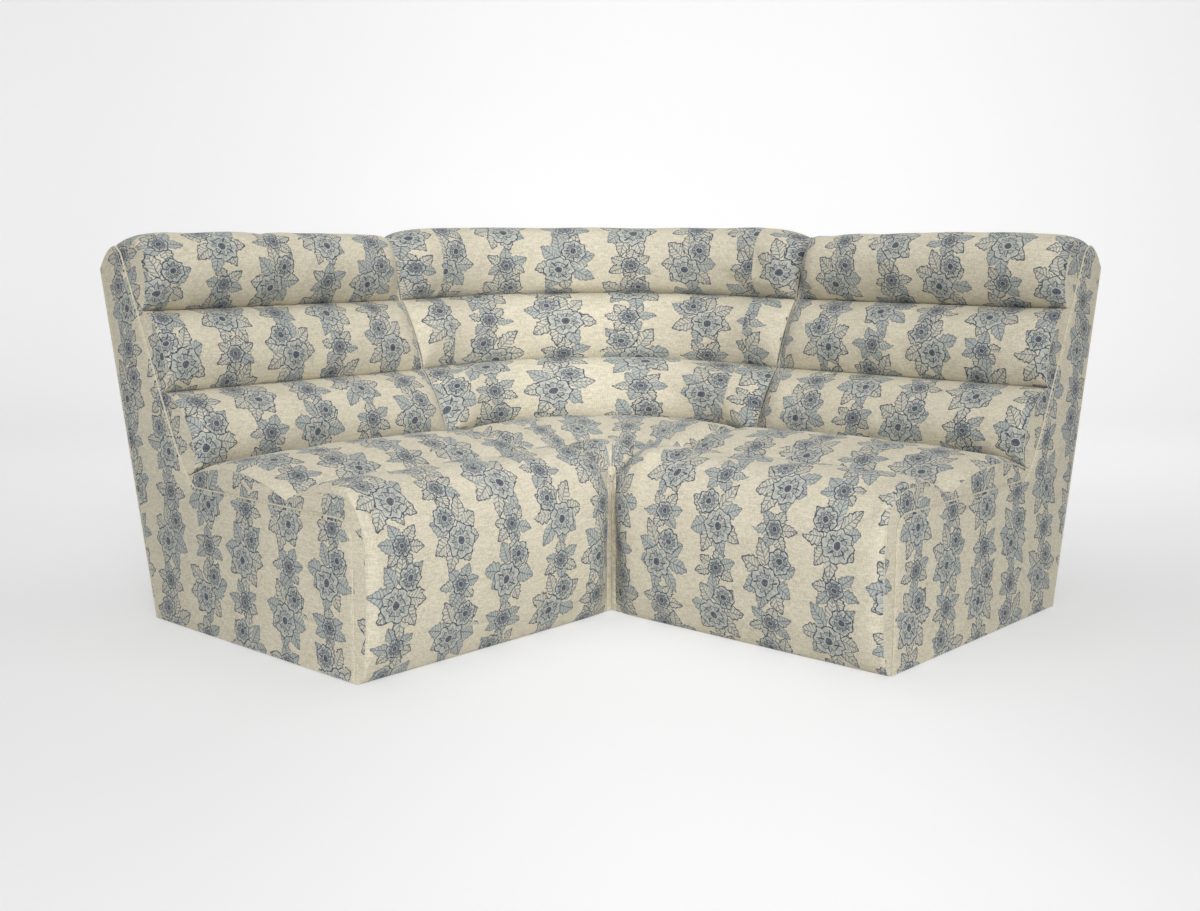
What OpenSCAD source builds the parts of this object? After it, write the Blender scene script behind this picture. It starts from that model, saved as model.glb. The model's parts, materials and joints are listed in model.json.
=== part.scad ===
// Modular corner sofa: a quarter-round corner module between two straight modules.
// Seen from above, every module has a depth axis t and a width axis w that start at the crease,
// the upright line where the fronts of the two straight modules meet.
// t runs back from the front edge of the side panels and w runs out from the joint plane.

/* [Modules] */
// Width of a straight module, from its joint plane to its free side
module_w = 776; // [700:1:860]
// Gap between the side panels of two neighbouring modules
joint_gap = 0.6; // [0.5:0.1:0.9]
// Distance from the crease to the centre of the corner's arcs
arc_centre = 268; // [250:1:290]

/* [Side panels] */
// Thickness of an upholstered side panel
panel_t = 18; // [14:0.5:22]
// Height of the seat seam, where the lower part of a side panel ends
seam_h = 335; // [322:1:340]
// Radius of the panel's front top corner
panel_corner_r = 38; // [20:1:60]
// Gap between the floor and the lower edge of the covers
floor_gap = 6; // [5:0.5:9]
// Radius of the piping cord
piping_r = 3; // [2:0.25:4]

/* [Seat] */
// Distance back to the channel seam between the front and rear seat pads
valley_t = 215; // [180:1:250]
// Height of that channel seam above the seat seam
valley_rise = 10; // [8:0.5:17]
// Height of the seat pads' crest above the seat seam, at their ends
crest_rise = 64; // [53:1:75]
// Distance back to the front pad's crest
crest_t = 50; // [35:1:70]
// How far the front pad stands out in front of the side panels
nose_out = 50; // [35:1:60]
// Height at which the front pad stands out most
nose_h = 250; // [220:1:280]
// Distance back to the crease between seat and back
crease_t = 590; // [570:1:600]
// Height of the crease between seat and back above the seat seam
crease_rise = 25; // [21:1:29]
// Extra height of the seat pads at the middle of their width
seat_crown = 14; // [6:1:20]
// How far in from the joint the front pad rounds off towards the crease
inner_round = 85; // [60:1:110]

/* [Back rolls] */
// Angle of the back from upright
back_rake = 25.3; // [23:0.1:26.5]
// Height of a back roll, measured along the rake
roll_pitch = 199; // [190:1:206]
// Depth of the lower roll
lower_bulge = 75; // [60:1:82]
// Depth of the middle roll
middle_bulge = 54; // [45:1:66]
// Depth of the upper roll
upper_bulge = 60; // [50:1:70]
// Height of the upper roll's top above the channel below it, at its ends
upper_rise = 170.4; // [154.4:0.1:184.4]
// Distance of that highest line behind the channel
top_setback = 24; // [14:1:39]
// Extra depth of the rolls at the middle of their width
roll_crown = 7; // [3:1:12]
// Drop from the upper roll's top to the outside back's upper edge
top_drop = 77; // [62:1:84]
// Depth from the upper roll's top to the outside back's upper edge
top_depth = 134; // [125:1:155]
// Depth of the back at the floor, behind the crease between seat and back
back_foot = 152; // [138:1:200]

/* [Padding] */
// Thickness of a pad at its sewn edges
pad_base = 10; // [8:0.5:11]
// Clearance between a soft piece and its neighbours
soft_gap = 0.3; // [0.25:0.05:0.5]
// Gap between two pads at a sewn channel
channel_gap = 4; // [2:0.5:5]
// Radius at the ends of the pads
end_round = 14; // [8:1:20]
// Thickness of the foam layer behind the back rolls
back_core_t = 30; // [22:1:34]

/* [Timber frame] */
// Thickness of the front board and the outside back board
board_t = 15; // [12:0.5:18]
// Width of a base rail
base_rail_w = 45; // [40:1:50]
// Height of a base rail
base_rail_h = 60; // [45:1:75]
// Height of the top of the seat rails
deck_h = 245; // [225:1:265]
// Height of a seat rail
seat_rail_h = 70; // [55:1:80]
// Thickness of a back upright
upright_t = 20; // [18:0.5:22]
// Height of the rail on top of the uprights
top_rail_h = 20; // [16:1:25]
// Distance from the crease between seat and back to the uprights' front edge
upright_step = 50; // [40:1:60]
// Glue line between two timbers
glue_gap = 0.3; // [0.2:0.05:0.5]

/* [Webbing] */
// Width of a webbing strap
strap_w = 50; // [40:1:55]
// Thickness of a webbing strap
strap_t = 2.5; // [2:0.5:3]
// Number of straps across the seat
seat_straps = 5; // [4:1:6]
// Number of straps from front to back
long_straps = 4; // [3:1:5]
// Number of straps across the back
back_straps = 4; // [3:1:5]

/* [Base hardware] */
// Height of a glide
glide_h = 12; // [11.5:0.5:14]
// Radius of a glide
glide_r = 16; // [12:0.5:19]
// Radius of a glide's pin
glide_pin_r = 4; // [3:0.25:5]
// Length of a glide's pin
glide_pin_l = 20; // [14:1:30]
// Distance from a rail's end to the middle of a glide
glide_inset = 30; // [24:1:34]
// Thickness of the tongue of a joint connector
tongue_t = 4; // [3:0.25:4]
// Width of the tongue
tongue_w = 40; // [30:1:46]
// How far the tongue reaches across the joint
tongue_reach = 38; // [30:1:46]
// Thickness of the connector's sheet steel
jaw_t = 2; // [1.5:0.1:2.2]
// Distance back to the front connector
front_connector_t = 250; // [220:1:280]
// Distance back to the rear connector
rear_connector_t = 550; // [500:1:580]
// Radius of a frame bolt
bolt_r = 4; // [3:0.5:5]
// Radius of a connector screw
screw_r = 2.2; // [1.8:0.1:2.6]
// Length of a connector screw above the rail's lower face
screw_l = 18; // [12:1:24]
// Thickness of the dust cover
dust_t = 1; // [0.8:0.1:1.2]

/* [Hidden] */

// Smoothness: points on a quarter of a pad's outline, sides of the piping, facets of a circle
curve_steps = 5;
roll_steps = 12;
corner_stations = 12;
section_steps = 5;
piping_sides = 6;
circle_facets = 48;

// Diagonal share and half of the corner's right angle
diagonal_share = sqrt(1 / 2);
half_turn = 45;

// Overrun of the cuts
overrun = 1;

// Heights of the seat's seams and crest, and depths of a side panel and of the uprights
valley_h = seam_h + valley_rise;
crest_h = seam_h + crest_rise;
crease_h = seam_h + crease_rise;
panel_d = crease_t + back_foot;
upright_front_t = crease_t + upright_step;

// The raked back: its direction upwards, its direction outwards, and the upper roll's ends on it
back_lean_share = tan(back_rake);
back_dir = [sin(back_rake), cos(back_rake)];
back_out = [-cos(back_rake), sin(back_rake)];
upper_s0 = 2 * roll_pitch + channel_gap / 2;
upper_start = rake_point(upper_s0, 0);
upper_top = upper_start + [top_setback, upper_rise];
top_h = upper_top[1];
back_top_h = top_h - top_drop;
back_top_t = upper_top[0] + top_depth;

// Widths of a straight module's inside, measured from the joint plane
joint_half = joint_gap / 2;
inside_w0 = joint_half + panel_t;
inside_w1 = module_w - panel_t;
inside_w = inside_w1 - inside_w0;

// Timber heights and depths
rail_z = glide_h;
rail_top = rail_z + base_rail_h;
seat_rail_z = deck_h - seat_rail_h;
upright_top = back_top_h - top_rail_h;
frame_t1 = panel_d - board_t - 2 * jaw_t;
seat_rail_t = base_rail_w - upright_t;
deck_t1 = crease_t - pad_base;

// Top of the seat cores, and the layers of the back behind the rolls' channels
core_top = seam_h;
pad_back = pad_base + soft_gap;
core_back = pad_back + back_core_t;
strap_back = core_back + soft_gap + strap_t;

// A point on the raked back: s up along the rake from the crease, out in front of the grooves
function rake_point(s, out) = [crease_t, crease_h] + back_dir * s + back_out * out;
// The same at a given height
function rake_at(h, out) =
  let (foot = rake_point(0, out)) [foot[0] + (h - foot[1]) * back_lean_share, h];
// The outside back's line at a given height, moved forwards by inwards
function outside_t(h, inwards) = panel_d + (back_top_t - panel_d) * h / back_top_h - inwards;

// A cubic curve from p to q whose two control points are shares of the step from p to q
function blend_curve(p, q, a_share, b_share, steps) =
  let (d = q - p,
       a = [p[0] + d[0] * a_share[0], p[1] + d[1] * a_share[1]],
       b = [p[0] + d[0] * b_share[0], p[1] + d[1] * b_share[1]])
  [for (i = [0:steps]) let (u = i / steps, v = 1 - u)
    p * pow(v, 3) + a * 3 * v * v * u + b * 3 * v * u * u + q * pow(u, 3)];
function without_first(list) = [for (i = [1:len(list) - 1]) list[i]];
function reversed(list) = [for (i = [len(list) - 1:-1:0]) list[i]];

// Pads: each has a crowned face, the flat line that the face would lie on with no filling,
// and three base points, of which the middle one sees the whole outline

// Rear seat pad
rear_start = [valley_t + channel_gap / 2, valley_h];
rear_end = [crease_t - channel_gap / 2, crease_h - 2 * channel_gap];
rear_crest_h = crest_h - (valley_h + crease_h) / 2;
seat_fullness_share = 2;
function rear_face() = [for (i = [0:roll_steps]) let (q = 180 * i / roll_steps)
  rear_start + (rear_end - rear_start) * (1 - cos(q)) / 2
    + [0, rear_crest_h * pow(sin(q), seat_fullness_share)]];
function rear_rest() = [for (i = [0:roll_steps]) let (q = 180 * i / roll_steps)
  rear_start + (rear_end - rear_start) * (1 - cos(q)) / 2];
rear_base = [[rear_end[0], core_top + soft_gap], [(rear_start[0] + rear_end[0]) / 2, core_top + soft_gap],
  [rear_start[0], core_top + soft_gap]];

// Front seat pad, which falls over the front board
front_start = [valley_t - channel_gap / 2, valley_h];
front_crest = [crest_t, crest_h];
front_nose = [-nose_out, nose_h];
front_toe = [-nose_out / 5, floor_gap + channel_gap / 2];
front_rest_t = -2 * soft_gap;
front_top_shares = [[0.18, 0.61], [0.58, 1]];
front_round_shares = [[0.55, 0], [0.98, 0.46]];
front_fall_shares = [[-0.04, 0.33], [0.11, 0.92]];
function front_face() = reversed(concat(
  blend_curve(front_start, front_crest, front_top_shares[0], front_top_shares[1], curve_steps),
  without_first(blend_curve(front_crest, front_nose, front_round_shares[0], front_round_shares[1],
    curve_steps + 1)),
  without_first(blend_curve(front_nose, front_toe, front_fall_shares[0], front_fall_shares[1],
    curve_steps))));
// With no filling the front cover lies flat on the core and drops down the front board
front_flat_h = core_top + pad_base / 2;
function front_rest() = let (face = front_face()) [for (p = face)
  p[0] > front_rest_t ? [p[0], min(p[1], front_flat_h + (p[0] / valley_t) * (valley_h - front_flat_h))]
    : [front_rest_t - pad_base / 4, min(p[1], front_flat_h)]];
front_base = [[front_start[0], core_top + soft_gap], [-soft_gap, core_top + soft_gap],
  [-soft_gap, front_toe[1]]];

// Back rolls
lower_skew_share = 0.12;
function roll_face(s0, s1, bulge, skew) = [for (i = [0:roll_steps]) let (q = 180 * i / roll_steps)
  rake_point(s0 + (s1 - s0) * ((1 - cos(q)) / 2 - skew * sin(q)), bulge * sin(q))];
function roll_rest(s0, s1) = [for (i = [0:roll_steps]) let (q = 180 * i / roll_steps)
  rake_point(s0 + (s1 - s0) * (1 - cos(q)) / 2, 0)];
function roll_base(s0, s1) = [rake_point(s1, -pad_base), rake_point((s0 + s1) / 2, -pad_base),
  rake_point(s0, -pad_base)];
lower_s = [channel_gap / 2, roll_pitch - channel_gap / 2];
middle_s = [roll_pitch + channel_gap / 2, 2 * roll_pitch - channel_gap / 2];

upper_end = [back_top_t, back_top_h + pad_base / 2];
upper_out_shares = [1.4, 1.03];
upper_rise_shares = [0.19, 1.02];
upper_back_shares = [[0.63, 0], [0.9, 0.58]];
function upper_front_curve() =
  let (rise = top_h - upper_start[1], q = upper_top,
       a = upper_start + [-upper_out_shares[0] * upper_bulge, upper_rise_shares[0] * rise],
       b = upper_start + [-upper_out_shares[1] * upper_bulge, upper_rise_shares[1] * rise])
  [for (i = [0:2 * curve_steps]) let (u = i / (2 * curve_steps), v = 1 - u)
    upper_start * pow(v, 3) + a * 3 * v * v * u + b * 3 * v * u * u + q * pow(u, 3)];
function upper_face() = concat(upper_front_curve(),
  without_first(blend_curve(upper_top, upper_end, upper_back_shares[0], upper_back_shares[1],
    curve_steps)));
// With no filling the upper cover would lie this far inside its face
upper_slack_share = 0.45;
upper_base = [[back_top_t - board_t, back_top_h + soft_gap], rake_at(back_top_h + soft_gap, -pad_base),
  rake_point(upper_s0, -pad_base)];
function upper_rest() = let (c = upper_base[1]) [for (p = upper_face())
  c + (p - c) * (p[1] > upper_end[1] ? 1 - upper_slack_share
    * min(1, (p[1] - upper_end[1]) / (top_h - upper_end[1])) : 1)];

// How full a pad is at a distance d from its nearest end: rounded at the end, then full
function end_fullness(d, r, end_share) =
  end_share + (1 - end_share) * (d >= r ? 1 : sqrt(1 - pow(1 - d / r, 2)));
end_share = 0.84;
corner_end_share = 0.8;
inner_end_share = 0.03;
station_shares = [0, 0.1, 0.35, 1];

// One ring of a pad's points: its face, drawn back to where it would rest as its fullness falls,
// and its base
function ring(face, rest, base, full) =
  concat([for (i = [0:len(face) - 1]) rest[i] + (face[i] - rest[i]) * full], base);

// A closed mesh through equal rings, with a fan on the base's middle point at each end
module ring_mesh(rings, fan) {
  n = len(rings[0]);
  m = len(rings);
  points = [for (r = rings) for (p = r) p];
  sides = [for (j = [0:m - 2]) for (i = [0:n - 1]) let (a = j * n + i, b = j * n + (i + 1) % n)
    each [[a, b, a + n], [b, b + n, a + n]]];
  caps = [for (i = [0:n - 1]) let (k = (i + 1) % n) if (i != fan && k != fan)
    each [[k, i, fan], [(m - 1) * n + i, (m - 1) * n + k, (m - 1) * n + fan]]];
  polyhedron(points = points, faces = concat(sides, caps));
}

// A pad of a straight module, between the side panels
module straight_pad(face, rest, base, r0, share0, crown) {
  w0 = inside_w0 + soft_gap;
  w1 = inside_w1 - soft_gap;
  middle = (w0 + w1) / 2;
  span = w1 - w0;
  stations = concat([for (s = station_shares) w0 + s * r0],
    [w0 + r0 + (middle - w0 - r0) / 2, middle, middle + (w1 - end_round - middle) / 2],
    [for (i = [len(station_shares) - 1:-1:0]) w1 - station_shares[i] * end_round]);
  rings = [for (w = stations)
    let (full = min(end_fullness(w - w0, r0, share0), end_fullness(w1 - w, end_round, end_share))
           * (1 + crown * (1 - pow(2 * (w - middle) / span, 2))))
    [for (p = ring(face, rest, base, full)) [w, p[0], p[1]]]];
  ring_mesh(rings, len(face) + 1);
}

// The corner's arcs are concentric, and pass through a straight module's depth t at the joint
arc_root = arc_centre * diagonal_share;
function arc_r(t) = sqrt(t * t - 2 * arc_root * t + arc_centre * arc_centre);
// Depth at which the arc through depth t lies at a distance inset inside the joint plane
function arc_depth(t, inset) =
  arc_root + sqrt(pow(t - arc_root, 2) - inset * inset + 2 * inset * arc_root);
// Half angle of that arc, up to there
function arc_end(t, inset) = let (at = arc_depth(t, inset))
  atan2(diagonal_share * (at - inset), diagonal_share * (at + inset) - arc_centre);
function arc_point(t, angle) =
  [arc_r(t) * sin(angle), arc_centre + arc_r(t) * cos(angle)];
// The seat's channels are the crease's arc drawn smaller towards the crease
crease_r = arc_r(crease_t);
crease_reach = (arc_centre + crease_r) / crease_t;
function fan_end(t, inset) =
  acos(min(1, (inset * crease_t / (diagonal_share * t) - arc_centre) / (crease_r * sqrt(2)))) - half_turn;
function fan_point(t, angle) =
  [crease_r * sin(angle), arc_centre + crease_r * cos(angle)] * t / crease_t;
corner_inset = inside_w0 + soft_gap;
fan_tip_t = corner_inset / (diagonal_share * crease_reach);

function corner_stations_list(ends) = concat(
  [for (s = [0, ends / 6, ends / 2]) s],
  [for (i = [1:corner_stations]) ends + (1 - 2 * ends) * (i - 1) / (corner_stations - 1)],
  [for (s = [ends / 2, ends / 6, 0]) 1 - s]);

// A back roll of the corner module
module corner_roll(face, rest, base) {
  ends = end_round / (2 * crease_r);
  rings = [for (u = corner_stations_list(ends))
    let (full = end_fullness(min(u, 1 - u), ends, corner_end_share)
           * (1 + roll_crown / lower_bulge * (1 - pow(2 * u - 1, 2))))
    [for (p = ring(face, rest, base, full))
      let (q = arc_point(p[0], (2 * u - 1) * arc_end(p[0], corner_inset))) [q[0], q[1], p[1]]]];
  ring_mesh(rings, len(face) + 1);
}

// A seat pad of the corner module
module corner_seat_pad(face, rest, base) {
  ends = end_round / (2 * crease_r);
  rings = [for (u = corner_stations_list(ends))
    let (full = end_fullness(min(u, 1 - u), ends, corner_end_share)
           * (1 + seat_crown / rear_crest_h * (1 - pow(2 * u - 1, 2))))
    [for (p = ring(face, rest, base, full))
      let (q = fan_point(p[0], (2 * u - 1) * fan_end(p[0], corner_inset))) [q[0], q[1], p[1]]]];
  ring_mesh(rings, len(face) + 1);
}

// Front pad of the corner: it narrows to the crease
tip_t = fan_tip_t + pad_base;
tip_face_start = [tip_t, core_top + pad_base / 2];
tip_shares = [[0.02, 0.55], [0.3, 1]];
tip_crest = front_crest + [tip_t, 0];
function tip_face() = concat(
  blend_curve(tip_face_start, tip_crest, tip_shares[0], tip_shares[1], curve_steps),
  without_first(reversed(
    blend_curve(front_start, tip_crest, front_top_shares[0], front_top_shares[1], curve_steps))));
function tip_rest() = [for (p = tip_face()) [p[0], min(p[1], core_top + pad_base / 2)]];
tip_base = [[front_start[0], core_top + soft_gap], [(tip_t + front_start[0]) / 2, core_top + soft_gap],
  [tip_t, core_top + soft_gap]];

// Outline of a side panel, from the toe up over the top and down the back
step_shares = [[0.35, 0.1], [0.76, 0.64]];
panel_step_t = crease_t - seat_rail_t - board_t / 2;
panel_mid = rake_at(seam_h + roll_pitch * 3 / 4, -pad_base);
panel_head = rake_at(top_h - roll_pitch / 5, -pad_base / 2);
panel_crown = [panel_head[0] + panel_t * 3 / 2, top_h - panel_corner_r * 2 / 3];
panel_back = [back_top_t - seat_rail_t / 2, back_top_h + board_t];
head_shares = [[0.3, 0.55], [0.6, 1]];
nape_shares = [[0.35, 0.05], [0.8, 0.6]];
function panel_outline() = concat(
  [[0, floor_gap]],
  [for (i = [0:curve_steps]) let (q = 90 * i / curve_steps)
    [panel_corner_r * (1 - cos(q)), seam_h - panel_corner_r * (1 - sin(q))]],
  blend_curve([panel_step_t, seam_h], panel_mid, step_shares[0], step_shares[1], curve_steps),
  [panel_head],
  without_first(blend_curve(panel_head, panel_crown, head_shares[0], head_shares[1], curve_steps - 1)),
  without_first(blend_curve(panel_crown, panel_back, nape_shares[0], nape_shares[1], curve_steps - 1)),
  [[outside_t(back_top_h, 0), back_top_h], [outside_t(floor_gap, 0), floor_gap]]);

// Places: the right module's own axes are w to the right and forwards and t to the right and
// backwards, and the left module mirrors it
front_slack = pad_base / 4 - front_rest_t;
front_reach = diagonal_share * max([for (s = station_shares) inside_w1 - soft_gap - s * end_round
  + front_slack + (nose_out - front_slack) * end_fullness(s * end_round, end_round, end_share)]);
back_reach = arc_centre + arc_r(back_top_t);
crease_y = (front_reach - back_reach) / 2;

module at_crease() translate([0, crease_y, 0]) children();
module right_side() at_crease() rotate([0, 0, -half_turn]) children();
module left_side() mirror([1, 0, 0]) right_side() children();
module both_sides() { right_side() children(); left_side() children(); }

// A flat shape in depth and height, stretched along the width from w0 to w1
module across(w0, w1) translate([w1, 0, 0]) rotate([0, -90, 0]) linear_extrude(w1 - w0)
  mirror([1, -1, 0]) children();
// A block in a module's own axes
module block(w, t, z) translate([w[0], t[0], z[0]]) cube([w[1] - w[0], t[1] - t[0], z[1] - z[0]]);
// The corner's floor plan between the joint planes, each moved inwards by inset
pie_side = 2 * panel_d;
module pie(inset, z0, z1) translate([0, inset / diagonal_share, z0]) linear_extrude(z1 - z0)
  polygon([[0, 0], [pie_side, pie_side], [-pie_side, pie_side]]);
// A section in depth and height, turned round the corner
function subdivided(points) = [for (i = [0:len(points) - 1]) let (q = points[(i + 1) % len(points)])
  for (k = [0:section_steps - 1]) points[i] + (q - points[i]) * k / section_steps];
function arc_section(points) = [for (p = subdivided(points)) [arc_r(p[0]), p[1]]];
module around(points) translate([0, arc_centre, 0])
  rotate_extrude($fn = circle_facets * 3) polygon(arc_section(points));
// The corner's two sides have w running inwards, with a mitre at the crease
module corner_bar(w0, w1, t1, z0, z1) translate([0, 0, z0]) linear_extrude(z1 - z0)
  polygon([[-w0, w0 + joint_half], [-w1, w1 + joint_half], [-w1, t1], [-w0, t1]]);

// Fixings shared by rails and hardware
glide_back_t = frame_t1 - glide_inset;
glide_front_t = board_t + glide_inset;
corner_glide_t = glide_front_t + 2 * base_rail_w;
glide_w0 = inside_w0 + base_rail_w / 2;
glide_w1 = inside_w1 - base_rail_w / 2;
pin_clearance = 0.08;
hole_clearance = 0.2;
connector_places = [front_connector_t, rear_connector_t];
hardware_w = glide_w0 + glide_r;
tongue_screws = [inside_w0 + base_rail_w / 3, inside_w0 + base_rail_w * 2 / 3];
jaw_clearance = 0.5;
jaw_leg = tongue_w / 2 + jaw_clearance;
jaw_flange = 16;
jaw_screw_t = jaw_leg + jaw_t + jaw_flange / 2;
jaw_screw_w = inside_w0 + base_rail_w / 2;
notch_half = jaw_leg + jaw_t + jaw_flange + jaw_clearance * 2;
notch_h = rail_z + jaw_clearance * 2;
screw_head_r = 2 * screw_r;
bolt_places = [[upright_front_t + 7 * bolt_r, seat_rail_z + seat_rail_h / 4],
  [upright_front_t + 13 * bolt_r, seat_rail_z + seat_rail_h * 3 / 4]];

module rail_hole(w, t, r, l) translate([w, t, rail_z - overrun])
  cylinder(r = r, h = l + overrun, $fn = circle_facets);
module along_w(w, t, z, r, l) translate([w, t, z]) rotate([0, 90, 0])
  cylinder(r = r, h = l, $fn = circle_facets);

module straight_rail_holes() {
  for (w = [glide_w0, glide_w1], t = [glide_front_t, glide_back_t])
    rail_hole(w, t, glide_pin_r + pin_clearance, glide_pin_l + overrun);
  for (t = connector_places, w = tongue_screws)
    rail_hole(w, t, screw_r + pin_clearance, screw_l + overrun);
}

module corner_rail_holes() {
  for (t = [corner_glide_t, glide_back_t])
    rail_hole(-glide_w0, t, glide_pin_r + pin_clearance, glide_pin_l + overrun);
  for (t = connector_places, s = [-1, 1])
    rail_hole(-jaw_screw_w, t + s * jaw_screw_t, screw_r + pin_clearance, screw_l + overrun);
}

// Straight module: timber

between_rails = [inside_w0 + base_rail_w + glue_gap, inside_w1 - base_rail_w - glue_gap];
module base_frame() color("burlywood") difference() {
  union() {
    block([inside_w0, inside_w0 + base_rail_w], [board_t, frame_t1], [rail_z, rail_top]);
    block([inside_w1 - base_rail_w, inside_w1], [board_t, frame_t1], [rail_z, rail_top]);
    for (t = [board_t, frame_t1 - base_rail_w])
      block(between_rails, [t, t + base_rail_w], [rail_z, rail_top]);
  }
  straight_rail_holes();
}

// Front board, front posts, and the seat rails that are bolted to the uprights
seat_side_w = inside_w0 + upright_t;
module seat_frame() color("tan") difference() {
  union() {
    block([inside_w0, inside_w1], [0, board_t - glue_gap], [floor_gap + channel_gap / 2, core_top]);
    for (w = [inside_w0, inside_w1 - base_rail_w])
      block([w, w + base_rail_w], [board_t, board_t + base_rail_w],
        [rail_top + glue_gap, seat_rail_z - glue_gap]);
    for (w = [seat_side_w, inside_w1 - base_rail_w])
      block([w, w + seat_rail_t], [board_t, frame_t1], [seat_rail_z, deck_h]);
    for (t = [board_t, deck_t1])
      block(between_rails, [t, t + seat_rail_t], [seat_rail_z, deck_h]);
  }
  for (p = bolt_places)
    along_w(inside_w0, p[0], p[1], bolt_r + hole_clearance, inside_w);
}

function upright_section(top) = [[upright_front_t, rail_top + glue_gap],
  [upright_front_t, rake_at(deck_h, -strap_back)[0] > upright_front_t ? deck_h
     : crease_h + (upright_front_t - rake_at(crease_h, -strap_back)[0]) / back_lean_share],
  rake_at(top, -strap_back), [outside_t(top, board_t + glue_gap), top], [frame_t1, rail_top + glue_gap]];

module upright(w) across(w, w + upright_t) polygon(upright_section(upright_top));

// Raked uprights, the top rail and two lumbar rails
top_rail_z = upright_top + glue_gap;
top_rail_section = [rake_at(top_rail_z, -strap_back),
  [outside_t(top_rail_z, board_t + glue_gap), top_rail_z],
  [outside_t(back_top_h, board_t + glue_gap), back_top_h], rake_at(back_top_h, -strap_back)];
lumbar_h = crease_h + roll_pitch * 4 / 5;
lumbar_section = [for (h = [lumbar_h, lumbar_h + seat_rail_h], s = [0, 1])
  rake_at(h, -strap_back - (h > lumbar_h ? 1 - s : s) * seat_rail_t)];
module back_frame() color("burlywood") {
  middle = (inside_w0 + inside_w1 - upright_t) / 2;
  difference() {
    union() for (w = [inside_w0, middle, inside_w1 - upright_t]) upright(w);
    for (p = bolt_places)
      along_w(inside_w0 - overrun, p[0], p[1], bolt_r + hole_clearance, inside_w + 2 * overrun);
    block([middle - overrun, middle + upright_t + overrun], [0, frame_t1 - base_rail_w],
      [rail_top - overrun, deck_h]);
  }
  across(inside_w0, inside_w1) polygon(top_rail_section);
  for (w = [inside_w0 + upright_t, middle + upright_t])
    across(w + glue_gap, w + (inside_w - 3 * upright_t) / 2 - glue_gap) polygon(lumbar_section);
}

// Straight module: webbing, foam and covers

module seat_webbing() color("dimgray") {
  w = [seat_side_w, inside_w1 - upright_t];
  t = [board_t, deck_t1 + seat_rail_t];
  across_pitch = (t[1] - t[0] - strap_w) / (seat_straps - 1);
  long_w0 = w[0] + strap_w;
  long_pitch = (w[1] - w[0] - 3 * strap_w) / (long_straps - 1);
  for (i = [0:seat_straps - 1])
    block(w, [t[0] + i * across_pitch, t[0] + i * across_pitch + strap_w], [deck_h, deck_h + strap_t]);
  for (i = [0:long_straps - 1])
    block([long_w0 + i * long_pitch, long_w0 + i * long_pitch + strap_w], t,
      [deck_h + strap_t, deck_h + 2 * strap_t]);
}

core_z = deck_h + 2 * strap_t + soft_gap;
module seat_core() color("khaki")
  block([inside_w0 + soft_gap, inside_w1 - soft_gap], [board_t + soft_gap, deck_t1], [core_z, core_top]);

core_s1 = (back_top_h - crease_h) / cos(back_rake) - pad_base;
core_section = [rake_point(0, -pad_back), rake_point(0, -core_back),
  rake_point(core_s1, -core_back), rake_point(core_s1, -pad_back)];
module back_core() color("khaki")
  across(inside_w0 + soft_gap, inside_w1 - soft_gap) polygon(core_section);

strap_pitch = (core_s1 - strap_w) / back_straps;
strap_faces = [soft_gap - strap_back, strap_t + soft_gap / 2 - strap_back];
function strap_section(i) = let (s = (i + 1 / 2) * strap_pitch)
  [rake_point(s, strap_faces[0]), rake_point(s, strap_faces[1]),
   rake_point(s + strap_w, strap_faces[1]), rake_point(s + strap_w, strap_faces[0])];
module back_webbing() color("dimgray")
  for (i = [0:back_straps - 1]) across(inside_w0 + soft_gap, inside_w1 - soft_gap) polygon(strap_section(i));

module seat_front() color("wheat")
  straight_pad(front_face(), front_rest(), front_base, inner_round, inner_end_share,
    seat_crown / (2 * nose_out));
module seat_rear() color("wheat")
  straight_pad(rear_face(), rear_rest(), rear_base, end_round, end_share, seat_crown / rear_crest_h);
module back_roll_lower() color("wheat")
  straight_pad(roll_face(lower_s[0], lower_s[1], lower_bulge, lower_skew_share),
    roll_rest(lower_s[0], lower_s[1]), roll_base(lower_s[0], lower_s[1]),
    end_round, end_share, roll_crown / lower_bulge);
module back_roll_middle() color("wheat")
  straight_pad(roll_face(middle_s[0], middle_s[1], middle_bulge, 0),
    roll_rest(middle_s[0], middle_s[1]), roll_base(middle_s[0], middle_s[1]),
    end_round, end_share, roll_crown / middle_bulge);
module back_roll_upper() color("wheat")
  straight_pad(upper_face(), upper_rest(), upper_base, end_round, end_share, roll_crown / upper_bulge);

module notched_panel(w0, w1) difference() {
  across(w0, w1) polygon(panel_outline());
  for (t = connector_places)
    block([w0 - overrun, w1 + overrun], [t - notch_half, t + notch_half], [floor_gap - overrun, notch_h]);
}
module side_panel_inner() color("lightsteelblue") notched_panel(joint_half, inside_w0);
module side_panel_outer() color("lightsteelblue") across(inside_w1, module_w) polygon(panel_outline());

back_panel_section = [[outside_t(floor_gap, board_t), floor_gap], [outside_t(floor_gap, 0), floor_gap],
  [outside_t(back_top_h, 0), back_top_h], [outside_t(back_top_h, board_t), back_top_h]];
module back_panel() color("lightsteelblue") across(inside_w0, inside_w1) polygon(back_panel_section);

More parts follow.
